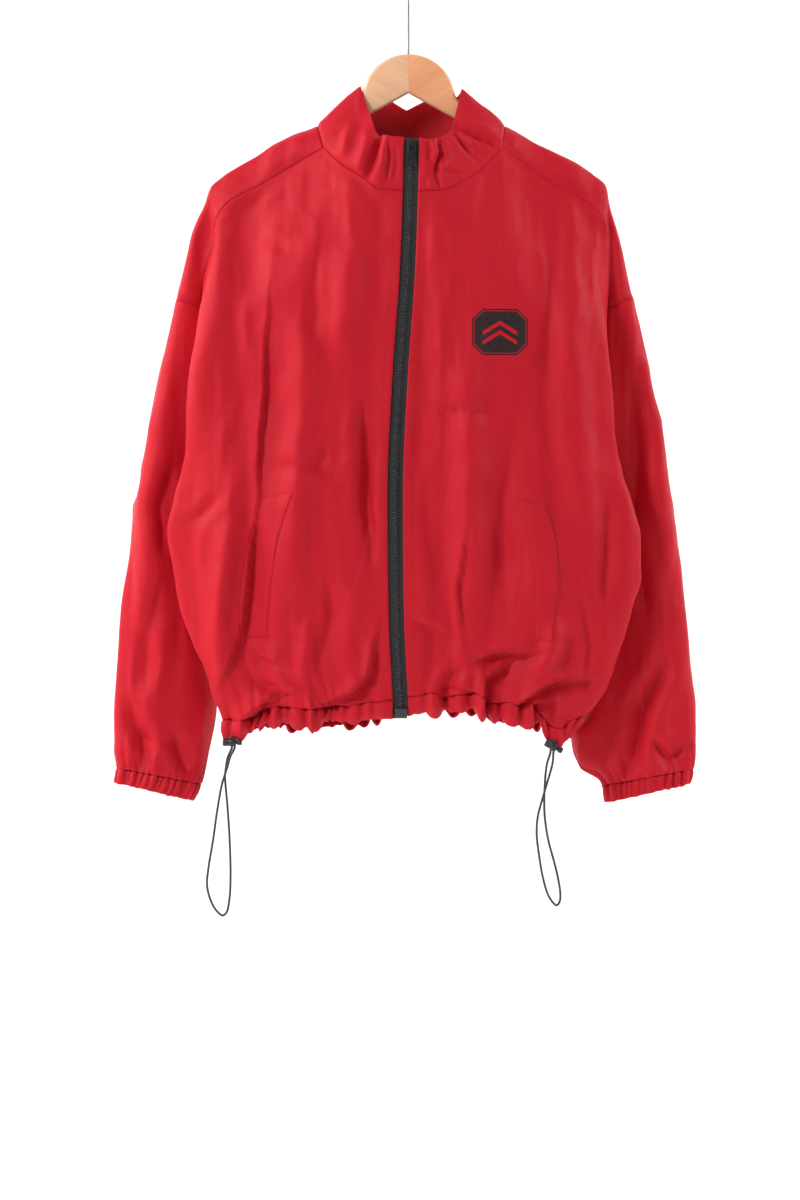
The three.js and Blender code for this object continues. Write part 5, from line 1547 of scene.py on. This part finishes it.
def spaced_along(points, normals, step):
    """Points and normals at even steps along a line."""
    run = run_along(points)
    at = np.arange(0, run[-1], step)
    spaced = [
        np.stack([np.interp(at, run, values[:, k]) for k in range(3)], axis=1)
        for values in (points, normals)
    ]
    return spaced[0], unit(spaced[1])


def dashes(points, normals):
    """A row of stitches along a line on the cloth, as points and faces."""
    fine = STITCH_PITCH / STEPS_PER_PITCH
    p, n = spaced_along(points, normals, fine)
    step = int(round(STITCH_LENGTH / fine))
    starts = np.arange(1, len(p) - step - 1, STEPS_PER_PITCH)
    rings = []
    for share, width, height in STITCH_RINGS:
        at = starts + int(round(share * step))
        along = unit(p[np.minimum(at + 1, len(p) - 1)] - p[at - 1])
        across = unit(np.cross(n[at], along))
        for turn in range(STITCH_SIDES):
            angle = 2 * math.pi * turn / STITCH_SIDES
            round_it = across * math.cos(angle) + n[at] * math.sin(angle)
            rings.append(p[at] + n[at] * height + STITCH_RADIUS * width * round_it)
    one = tube_faces(len(STITCH_RINGS), STITCH_SIDES)
    size = len(STITCH_RINGS) * STITCH_SIDES
    faces = [tuple(k * size + v for v in face) for k in range(len(starts)) for face in one]
    return np.stack(rings, axis=1).reshape(-1, 3), faces


def tube_faces(rings, sides):
    """Faces of a closed tube whose points run ring by ring."""
    faces = []
    for ring in range(rings - 1):
        for k in range(sides):
            a, b = ring * sides + k, ring * sides + (k + 1) % sides
            faces.append((a, b, b + sides, a + sides))
    last = (rings - 1) * sides
    faces.append(tuple(reversed(range(sides))))
    faces.append(tuple(range(last, last + sides)))
    return faces


def joined(parts):
    """The points and faces of all parts as one."""
    points, faces, start = [], [], 0
    for some, their_faces in parts:
        points.append(np.asarray(some, float))
        faces.extend(tuple(start + v for v in face) for face in their_faces)
        start += len(some)
    return np.concatenate(points), faces


def make_stitches(lines, material):
    """All the stitches, one after another along each line."""
    points, faces = joined([dashes(*line) for line in lines])
    add_object("stitches", mesh_from(points, faces, "stitches"), material)


ZIP_TOPSTITCH, ZIP_EDGESTITCH, TOPSTITCH, YOKE_STITCH, CASING_STITCH = 9.5, 1.4, 1.8, 1.7, 1.4


def seam_stitches(cloths):
    """The lines of stitching beside the seams and the zip."""
    lines = []
    for side in ("left", "right"):
        front, back = cloths[f"front_{side}"], cloths[f"back_{side}"]
        yoke = cloths[f"yoke_{side}"]
        lines.append(cut_short(beside(front, "start", ZIP_TOPSTITCH), 2, -3))
        lines.append(cut_short(beside(front, "start", ZIP_EDGESTITCH), 1, -1))
        lines.append(cut_short(beside(front, "top", TOPSTITCH), 1, NECK_COLUMNS + 1))
        lines.append(cut_short(beside(back, "top", TOPSTITCH), 1, NECK_COLUMNS + 1))
        lines.append(cut_short(beside(yoke, "start", YOKE_STITCH), 2, -1))
        lines.append(beside(yoke, "foot", YOKE_STITCH))
    lines.append(beside(cloths["hem"], "top", CASING_STITCH))
    return lines


# ---------------------------------------------------------------- pocket welts

# A welt lies on its front between two slanting lines, given in the front's cells across and down, and
# covers the pocket's mouth at its outer edge.
WELTS = {
    "left": {"top": 9.85, "foot": 13.95, "inner": (4.75, 6.38), "outer": (6.12, 7.88)},
    "right": {"top": 10.1, "foot": 14.1, "inner": (5.3, 6.38), "outer": (6.62, 7.12)},
}
WELT_ROWS, WELT_COLUMNS, WELT_STITCH = 80, 24, 1.7
WELT_WEAVE = (40, 90)


def welt_cloth(cloths, side):
    """A welt's grid, laid on its front and a little raised along the mouth."""
    welt, front = WELTS[side], cloths[f"front_{side}"]
    t, w = np.meshgrid(
        np.linspace(0, 1, WELT_ROWS + 1), np.linspace(0, 1, WELT_COLUMNS + 1), indexing="ij",
    )
    v = (welt["top"] + t * (welt["foot"] - welt["top"])) / CELLS_DOWN
    inner = welt["inner"][0] + t * (welt["inner"][1] - welt["inner"][0])
    outer = welt["outer"][0] + t * (welt["outer"][1] - welt["outer"][0])
    u = (inner + w * (outer - inner)) / CELLS_ACROSS
    points, normals = front.at(np.interp(v, ROW_SHARES, np.arange(len(ROW_SHARES))), u * COLUMNS)
    rim = np.minimum.reduce([t * 81, (1 - t) * 81, w * 16])
    height = 0.35 + 0.55 * smoothstep(rim, 0, 2.5)
    height = height + 0.8 * smoothstep(w, 0.5, 1) * np.sin(np.pi * t) ** 0.5
    height += 0.3 * noise(points, (9, 9, 14), 81) * smoothstep(w, 0.3, 0.9)
    cloth = Cloth(points + normals * height[..., None], turned=front.turned)
    share_normals([cloth])
    return cloth


def make_welts(cloths, material):
    """The welts; gives the lines of stitching on them."""
    lines = []
    for side in ("left", "right"):
        cloth = welt_cloth(cloths, side)
        part = plain_part(cloth, flip_u=side == "left", shift=WELT_WEAVE)
        add_cloth(f"pocket_welt_{side}", [part], material, WELT_THICK)
        for edge in ("start", "top", "foot", "end"):
            lines.append(cut_short(beside(cloth, edge, WELT_STITCH), 1, -1))
    return lines


# ---------------------------------------------------------------- zip

TAPE_BEHIND, TAPE_THICK, TAPE_ROWS = 1.7, 0.8, 260
# Columns of a tape, from the chain's middle outwards; a cord is woven in beside the teeth.
TAPE_COLUMNS = [0.2, 1.0, 1.8, 2.6, 3.6, 5.0, 6.6, 8.2, 10.0, 12.0]
TAPE_CORD_AT, TAPE_CORD_WIDTH, TAPE_CORD_HEIGHT = 1.8, 0.7, 0.35
TOOTH_PITCH, TOOTH_TOP, TOOTH_FOOT, TOOTH_SET = 1.45, -231.0, -816.0, 0.75
# A tooth's outline: distance from the chain's middle, and height.
TOOTH_OUTLINE = [
    (-0.95, 0.28), (-0.55, 0.52), (0.25, 0.40), (1.0, 0.52), (2.6, 0.52), (2.9, 0.30),
    (2.9, -0.30), (2.6, -0.52), (1.0, -0.52), (0.25, -0.40), (-0.55, -0.52), (-0.95, -0.28),
]
TOOTH_DEPTH, TOOTH_CHAMFER, TOOTH_MIDDLE, TOOTH_TIP = 1.05, 0.28, 0.95, 0.8
PULL_AXIS_Z = -221.5


def zip_edge(cloths, side):
    """Points of the garment's face along one edge of the zip, from the collar's top down."""
    at = -1 if side == "right" else 0
    return np.concatenate([
        cloths["collar"].points[::-1, at],
        cloths[f"front_{side}"].points[1:, 0],
        cloths["hem"].points[1:, at],
    ])


def zip_faces(cloths):
    """The depth of each tape's outer face as a function of height."""
    faces = {}
    for side in ("left", "right"):
        line = zip_edge(cloths, side)
        faces[side] = reader(line[:, 2], line[:, 1] + TAPE_BEHIND)
    return faces


def make_tapes(cloths, faces, material):
    """The two tapes behind the edges of the cloth."""
    offsets = np.array(TAPE_COLUMNS)[None]
    for side, sign in SIGN.items():
        line = zip_edge(cloths, side)
        z = np.linspace(line[0, 2] - 0.3, line[-1, 2] + 0.3, TAPE_ROWS)[:, None]
        y = faces[side](z) + 0.12 * noise(stack(offsets, 0, z), (9, 9, 14), 91)
        cord = np.exp(-(((offsets - TAPE_CORD_AT) / TAPE_CORD_WIDTH) ** 2))
        y = y + 0.05 * np.maximum(0, offsets - 8) - TAPE_CORD_HEIGHT * cord
        points = stack(zip_x(z) + sign * offsets, y, z)
        part = plain_part(Cloth(points, turned=side == "left"))
        add_cloth(f"zip_tape_{side}", [part], material, TAPE_THICK, slot="zip_tape")


def tooth_shape(sign):
    """One tooth: a root clamped on the tape's edge and a head that meets the other side's teeth."""
    depth, middle = TOOTH_DEPTH, TOOTH_MIDDLE
    full = depth - TOOTH_CHAMFER
    rings = ((TOOTH_TIP, -depth), (1.0, -full), (1.0, full), (TOOTH_TIP, depth))
    points = []
    for scale, y in rings:
        points += [(sign * (middle + (x - middle) * scale), y, z * scale) for x, z in TOOTH_OUTLINE]
    faces = tube_faces(len(rings), len(TOOTH_OUTLINE))
    return np.array(points), faces if sign < 0 else [face[::-1] for face in faces]


def make_chain(faces, material):
    """The teeth, left and right by turns, each set across the chain's lean."""
    parts = []
    for count, z in enumerate(np.arange(TOOTH_TOP, TOOTH_FOOT, -TOOTH_PITCH)):
        shape, shape_faces = tooth_shape(1 if count % 2 else -1)
        lean = math.atan2(float(zip_x(z - 2) - zip_x(z + 2)), 4.0)
        x = shape[:, 0] * math.cos(lean) - shape[:, 2] * math.sin(lean) + zip_x(z)
        up = shape[:, 0] * math.sin(lean) + shape[:, 2] * math.cos(lean) + z
        y = shape[:, 1] + min(faces["left"](z), faces["right"](z)) - TOOTH_SET
        parts.append((np.stack([x, y, up], axis=1), shape_faces))
    mesh = mesh_from(*joined(parts), "zip_teeth")
    add_object("zip_teeth", mesh, material, replaces=("zip_chain",), slot="zip_tape", smooth=False)


def outline_plate(outlines, thick, bevel, place):
    """A plate with rounded edges from closed outlines in X and Z, the first the rim and the rest holes."""
    curve = bpy.data.curves.new("outline", "CURVE")
    curve.dimensions = "2D"
    curve.fill_mode = "BOTH"
    curve.extrude = (thick / 2 - bevel) * MM
    curve.bevel_depth = bevel * MM
    curve.bevel_resolution = 3
    curve.offset = -bevel * MM
    for outline in outlines:
        spline = curve.splines.new("POLY")
        spline.points.add(len(outline) - 1)
        spline.use_cyclic_u = True
        for target, (x, z) in zip(spline.points, outline):
            target.co = (x * MM, z * MM, 0, 1)
    obj = linked("outline", curve)
    mesh = bpy.data.meshes.new_from_object(obj.evaluated_get(bpy.context.evaluated_depsgraph_get()))
    bpy.data.objects.remove(obj)
    bpy.data.curves.remove(curve)
    points = np.array([vertex.co for vertex in mesh.vertices]) / MM
    faces = [tuple(face.vertices) for face in mesh.polygons]
    bpy.data.meshes.remove(mesh)
    return np.stack([points[:, 0], -points[:, 2], points[:, 1]], axis=1) + np.array(place), faces


def rounded_outline(half, low, high, radius, waist=0.0, steps=7):
    """A rounded rectangle in X and Z, pulled in at mid height by a share."""
    outline = []
    for cx, cz, start in (
        (half - radius, low + radius, -90), (half - radius, high - radius, 0),
        (-half + radius, high - radius, 90), (-half + radius, low + radius, 180),
    ):
        for k in range(steps + 1):
            angle = math.radians(start + 90 * k / steps)
            outline.append((cx + radius * math.cos(angle), cz + radius * math.sin(angle)))
    middle, reach = (low + high) / 2, (high - low) / 2
    return [(x * (1 - waist * (1 - ((z - middle) / reach) ** 2)), z) for x, z in outline]


def block(low, high):
    """A box between two corners."""
    (x0, y0, z0), (x1, y1, z1) = low, high
    points = [(x, y, z) for x in (x0, x1) for y in (y0, y1) for z in (z0, z1)]
    faces = [(0, 1, 3, 2), (4, 6, 7, 5), (0, 4, 5, 1), (2, 3, 7, 6), (0, 2, 6, 4), (1, 5, 7, 3)]
    return np.array(points, float), faces


def ribbon_arch(route, half, thick, middle):
    """A flat strip bent along a route in Y and Z, centred across X."""
    route = np.array(route, float)
    along = np.gradient(route, axis=0)
    side = np.stack([-along[:, 1], along[:, 0]], axis=1)
    side /= np.linalg.norm(side, axis=1, keepdims=True)
    points = []
    for (y, z), (ny, nz) in zip(route, side * thick / 2):
        for x, lift in ((-half, -1), (half, -1), (half, 1), (-half, 1)):
            points.append((middle + x, y + ny * lift, z + nz * lift))
    return np.array(points), tube_faces(len(route), 4)


def hard_object(name, parts, material, sharp=35, **binding):
    """An object of hard pieces, smooth but for its sharp edges."""
    obj = add_object(name, mesh_from(*joined(parts), name), material, **binding)
    obj.data.set_sharp_from_angle(angle=math.radians(sharp))
    return obj


def box_of(node):
    """A solid's lowest and highest corners, its middle in X and Y, and half its width."""
    low, high = (np.array(v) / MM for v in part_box(node))
    return low, high, (low[0] + high[0]) / 2, (low[1] + high[1]) / 2, (high[0] - low[0]) / 2


def make_slider(material):
    """The slider's two plates, its post, side flanges and the bridge that holds the pull."""
    low, high, middle, _, _ = box_of("zip_slider")
    face = low[1] + 3.4
    half, bottom, top = 4.75, low[2], high[2]
    front = rounded_outline(half, bottom, top, 2.4, waist=0.12)
    crown = rounded_outline(half - 1.3, bottom + 1.6, top - 1.6, 2.0, waist=0.12)
    back = rounded_outline(half, bottom, top, 2.2, waist=0.12)
    parts = [
        outline_plate([front], 2.2, 0.7, (middle, face + 1.4, 0)),
        outline_plate([crown], 0.9, 0.4, (middle, face + 0.25, 0)),
        outline_plate([back], 1.2, 0.4, (middle, high[1] - 0.6, 0)),
        block((middle - 1.2, face + 1.5, top - 5), (middle + 1.2, high[1] - 0.5, top - 0.6)),
    ]
    for x in (-half + 0.15, half - 1.15):
        parts.append(block((middle + x, face + 1.4, bottom + 1.2), (middle + x + 1, face + 3.3, top - 5.5)))
    angles = np.radians(np.linspace(0, 180, 15))
    route = [(face + 0.3 - 3.25 * math.sin(a) ** 0.7, PULL_AXIS_Z + 3.15 * math.cos(a)) for a in angles]
    parts.append(ribbon_arch(route, 1.1, 0.85, middle))
    hard_object("slider", parts, material, replaces=("zip_slider",), slot="zip_metal")


def make_pull(material):
    """The pull tab: an eye round the bridge, a raised grip and a slot near its foot."""
    low, high, middle, depth, half = box_of("zip_pull")
    rim = rounded_outline(half, low[2], high[2], 2.4, waist=0.16)
    eye = rounded_outline(2.1, PULL_AXIS_Z - 6.2, PULL_AXIS_Z - 0.75, 0.9)
    slot = rounded_outline(2.5, PULL_AXIS_Z - 22, PULL_AXIS_Z - 15.8, 1.4)
    ridge = rounded_outline(2.0, PULL_AXIS_Z - 14.2, PULL_AXIS_Z - 7.8, 0.9, waist=0.1)
    parts = [
        outline_plate([rim, eye, slot], 1.4, 0.35, (middle, depth, 0)),
        outline_plate([ridge], 0.5, 0.2, (middle, low[1] + 0.1, 0)),
    ]
    hard_object("pull_tab", parts, material, body=PULL, replaces=("zip_pull",), slot="zip_metal")


def make_box(material):
    """The separating box and the retainer pin's head over it."""
    low, high, middle, depth, half = box_of("zip_box")
    shell = rounded_outline(half, low[2], high[2], 1.5)
    parts = [outline_plate([shell], high[1] - low[1], 0.9, (middle, depth, 0))]
    for offset in (-2.9, 2.9):
        rib = rounded_outline(2.3, low[2] + 1.5, high[2] - 1.5, 0.8)
        parts.append(outline_plate([rib], 0.8, 0.3, (middle + offset, low[1] + 0.1, 0)))
    hard_object("separating_box", parts, material, replaces=("zip_box",), slot="zip_metal")


def make_zip(cloths):
    """The closed zip: tapes, teeth, slider, pull and separating box."""
    tape, metal = zip_cloth(), dark_metal("zip_metal", (0.055, 0.055, 0.06), 0.34)
    tooth = dark_metal("zip_tooth", (0.22, 0.22, 0.23), 0.26)
    faces = zip_faces(cloths)
    make_tapes(cloths, faces, tape)
    make_chain(faces, tooth)
    make_slider(metal)
    make_pull(metal)
    make_box(dark_metal("zip_box_metal", (0.16, 0.16, 0.17), 0.32))


# ---------------------------------------------------------------- hanger

# The wood's half thickness, edge rounding and outline: arch over the neck, notch between the arms,
# slope of their undersides, rounded tips, and the gap left under the cloth.
HANGER = {
    "half": 6.0, "round": 3.6, "top": -122.0, "arch": 50.0, "arch_foot": 8.0, "neck_rise": 22.0,
    "neck_reach": 6.0, "notch": -163.6, "slope": 0.557, "end": 198.0, "tip": 9.0, "under_cloth": 3.8,
    "mitre": 0.03,
}
OUTLINE_STEPS, EDGE_TURNS = 40, [-90, -68, -45, -22, 0]
HOOK = {"wire": 3.5, "radius": 22.25, "bend": 10.0, "foot": -146.0, "tip_angle": 200.0}


def quadratic(p0, p1, p2, steps=12):
    """Points of a quadratic curve after its first."""
    t = np.linspace(0, 1, steps + 1)[1:, None]
    return (1 - t) ** 2 * np.array(p0) + 2 * t * (1 - t) * np.array(p1) + t * t * np.array(p2)


def hanger_outline():
    """Outline in X and Z of the right half: underside, rounded end, top line, neck and arch."""
    h = HANGER
    station = np.concatenate([station_on_top(np.linspace(NECK_END, 1, 60)), np.linspace(4, 5, 12)[1:]])
    crest = np.stack([arm["outer_left"](station), arm["outer_z"](station) - h["under_cloth"]], axis=1)
    crest = crest[crest[:, 0] < h["end"] - h["tip"] / 2][::-1]
    tip_z = crest[0, 1] - h["tip"]
    centre_z, foot = h["top"] - h["arch"], math.radians(h["arch_foot"])
    arch = [h["arch"] * math.cos(foot), centre_z + h["arch"] * math.sin(foot)]
    angles = np.linspace(foot, math.acos(h["mitre"] / h["arch"]), OUTLINE_STEPS)[1:]
    xs = np.linspace(h["mitre"], h["end"] - h["tip"], OUTLINE_STEPS)
    under = h["notch"] - h["slope"] * xs
    under_tip = h["notch"] - h["slope"] * (h["end"] - h["tip"] / 2)
    pieces = [
        np.stack([xs, under], axis=1),
        quadratic((xs[-1], under[-1]), (h["end"], under_tip), (h["end"], tip_z)),
        quadratic((h["end"], tip_z), (h["end"], tip_z + h["tip"] / 2), crest[0]), crest[1:],
        quadratic(crest[-1], (arch[0] + h["neck_reach"], crest[-1, 1] + h["neck_rise"]), arch),
        np.stack([h["arch"] * np.cos(angles), centre_z + h["arch"] * np.sin(angles)], axis=1),
    ]
    return np.concatenate(pieces)


def hanger_half(sign):
    """Rings of the outline drawn in towards both faces, so that all but the mitre is rounded."""
    line = hanger_outline()
    along = np.roll(line, -1, axis=0) - np.roll(line, 1, axis=0)
    inward = np.stack([-along[:, 1], along[:, 0]], axis=1)
    at_mitre = line[:, 0] < HANGER["mitre"] + 0.01
    inward[at_mitre] = [[0, 1], [0, -1]]
    inward /= np.linalg.norm(inward, axis=1, keepdims=True)
    r, half = HANGER["round"], HANGER["half"]
    rings = []
    for angle in np.radians(EDGE_TURNS):
        rings.append((line + inward * r * (1 - math.cos(angle)), -half + r + r * math.sin(angle)))
    rings += [(ring, -y) for ring, y in reversed(rings)]
    points = [np.stack([sign * ring[:, 0], 0 * ring[:, 0] + y, ring[:, 1]], axis=1) for ring, y in rings]
    faces = tube_faces(len(rings), len(line))
    if sign > 0:
        faces = [face[::-1] for face in faces]
    return np.concatenate(points), faces


def hook_route():
    """The wire's centreline: a straight shank, a small bend and the round hook over the rod."""
    h = HOOK
    centre = h["wire"] / 2 - h["radius"]
    rise = math.sqrt((h["radius"] + h["bend"]) ** 2 - h["bend"] ** 2)
    bend_z, bend_angle = centre - rise, math.pi / 2 - math.atan2(h["bend"], rise)
    route = [(0, 0, z) for z in np.linspace(h["foot"], bend_z, 12)[:-1]]
    for angle in np.linspace(math.pi, math.pi - bend_angle, 14)[:-1]:
        route.append((h["bend"] * (1 + math.cos(angle)), 0, bend_z + h["bend"] * math.sin(angle)))
    for angle in np.linspace(-bend_angle, math.radians(h["tip_angle"]), 90):
        route.append((h["radius"] * math.cos(angle), 0, centre + h["radius"] * math.sin(angle)))
    return route


# Each half's wood: its name, light colour and dark colour.
WOODS = {
    "left": ("pale_wood", (0.94, 0.55, 0.325), (0.80, 0.43, 0.23)),
    "right": ("warm_wood", (0.97, 0.46, 0.235), (0.86, 0.35, 0.16)),
}


def make_hanger():
    """Two halves of different wood, glued at the mitre, and the wire hook."""
    slope = math.atan(HANGER["slope"])
    woods = {side: timber(*wood, SIGN[side] * slope) for side, wood in WOODS.items()}
    for side, wood in woods.items():
        hard_object(
            f"arm_{side}", [hanger_half(SIGN[side])], wood, 40, replaces=(f"hanger_wood_{side}",),
            slot=WOODS[side][0],
        )
    tube("hook", hook_route(), HOOK["wire"] / 2, wire_steel(), replaces=("hanger_hook",), slot="steel")


# ---------------------------------------------------------------- stage and lights

def pale_ground():
    """Pale and matt on its upper side; its underside and the back of the wall are clear."""
    nodes = Nodes("pale_ground")
    cloud = nodes.noise(nodes.coords("Object"), 0.6, 2.0)
    colour = nodes.mix(cloud, (0.90, 0.90, 0.90), (0.93, 0.93, 0.93))
    material = nodes.set(Base_Color=colour, Roughness=0.9, Specular_IOR_Level=0.1)
    tree = material.node_tree
    output = next(node for node in tree.nodes if node.type == "OUTPUT_MATERIAL")
    matt = output.inputs["Surface"].links[0].from_socket
    side = tree.nodes.new("ShaderNodeNewGeometry")
    clear = tree.nodes.new("ShaderNodeBsdfTransparent")
    mix = tree.nodes.new("ShaderNodeMixShader")
    tree.links.new(side.outputs["Backfacing"], mix.inputs[0])
    tree.links.new(matt, mix.inputs[1])
    tree.links.new(clear.outputs["BSDF"], mix.inputs[2])
    tree.links.new(mix.outputs["Shader"], output.inputs["Surface"])
    return material


def make_stage():
    """A pale floor that sweeps up into the wall behind."""
    near, floor, wall, top, radius, half = -6.0, -1.30, 1.6, 3.0, 0.7, 5.0
    foot = wall - radius
    profile = [(near, floor), (foot, floor)]
    for angle in np.radians(np.linspace(0, 90, 17)[1:]):
        profile.append((foot + radius * math.sin(angle), floor + radius * (1 - math.cos(angle))))
    profile.append((wall, top))
    points = [(x, y, z) for y, z in profile for x in (-half, half)]
    faces = [(2 * i, 2 * i + 1, 2 * i + 3, 2 * i + 2) for i in range(len(profile) - 1)]
    mesh = bpy.data.meshes.new("ground")
    mesh.from_pydata(points, [], faces)
    mesh.update()
    obj = linked("ground", mesh)
    mesh.materials.append(pale_ground())
    mesh.shade_smooth()


def add_light(name, place, target, size, watts):
    """A round white lamp turned to its target."""
    data = bpy.data.lights.new(name, "AREA")
    data.shape = "DISK"
    data.size = size
    data.energy = watts
    obj = linked(name, data)
    obj.location = place
    obj.rotation_euler = (Vector(target) - Vector(place)).to_track_quat("-Z", "Y").to_euler()


# Each light's place, target, diameter and power.
MIDDLE, WORLD_LIGHT = (0, 0, -0.55), 0.22
LIGHTS = {
    "key": ((-2.3, -2.2, 1.0), MIDDLE, 0.9, 66),
    "fill": ((1.6, -3.4, -0.1), MIDDLE, 1.8, 8),
    "top": ((0.1, -0.9, 1.7), MIDDLE, 1.0, 4),
    "wall_left": ((-2.4, 0.1, 0.6), (-0.6, 1.6, -0.6), 1.6, 55),
    "wall_right": ((2.4, 0.1, 0.6), (0.6, 1.6, -0.6), 1.6, 55),
}


def make_lights():
    """Soft studio light from the left, a weak fill, and two lamps for the wall."""
    world = bpy.data.worlds.new("studio")
    world.use_nodes = True
    sky = world.node_tree.nodes["Background"].inputs
    sky["Color"].default_value = (1, 1, 1, 1)
    sky["Strength"].default_value = WORLD_LIGHT
    bpy.context.scene.world = world
    for name, light in LIGHTS.items():
        add_light(name, *light)


# ---------------------------------------------------------------- putting it together

def main():
    bpy.context.scene.view_settings.view_transform = "Standard"
    make_camera()
    make_cords()
    cloths = build_cloths()
    shape_cloths(cloths)
    red = nylon("nylon")
    make_cloth_objects(cloths, red, nylon("nylon_print", badge=True))
    make_stitches(seam_stitches(cloths) + make_welts(cloths, red), stitch_thread())
    make_zip(cloths)
    make_hanger()
    make_stage()
    make_lights()


main()
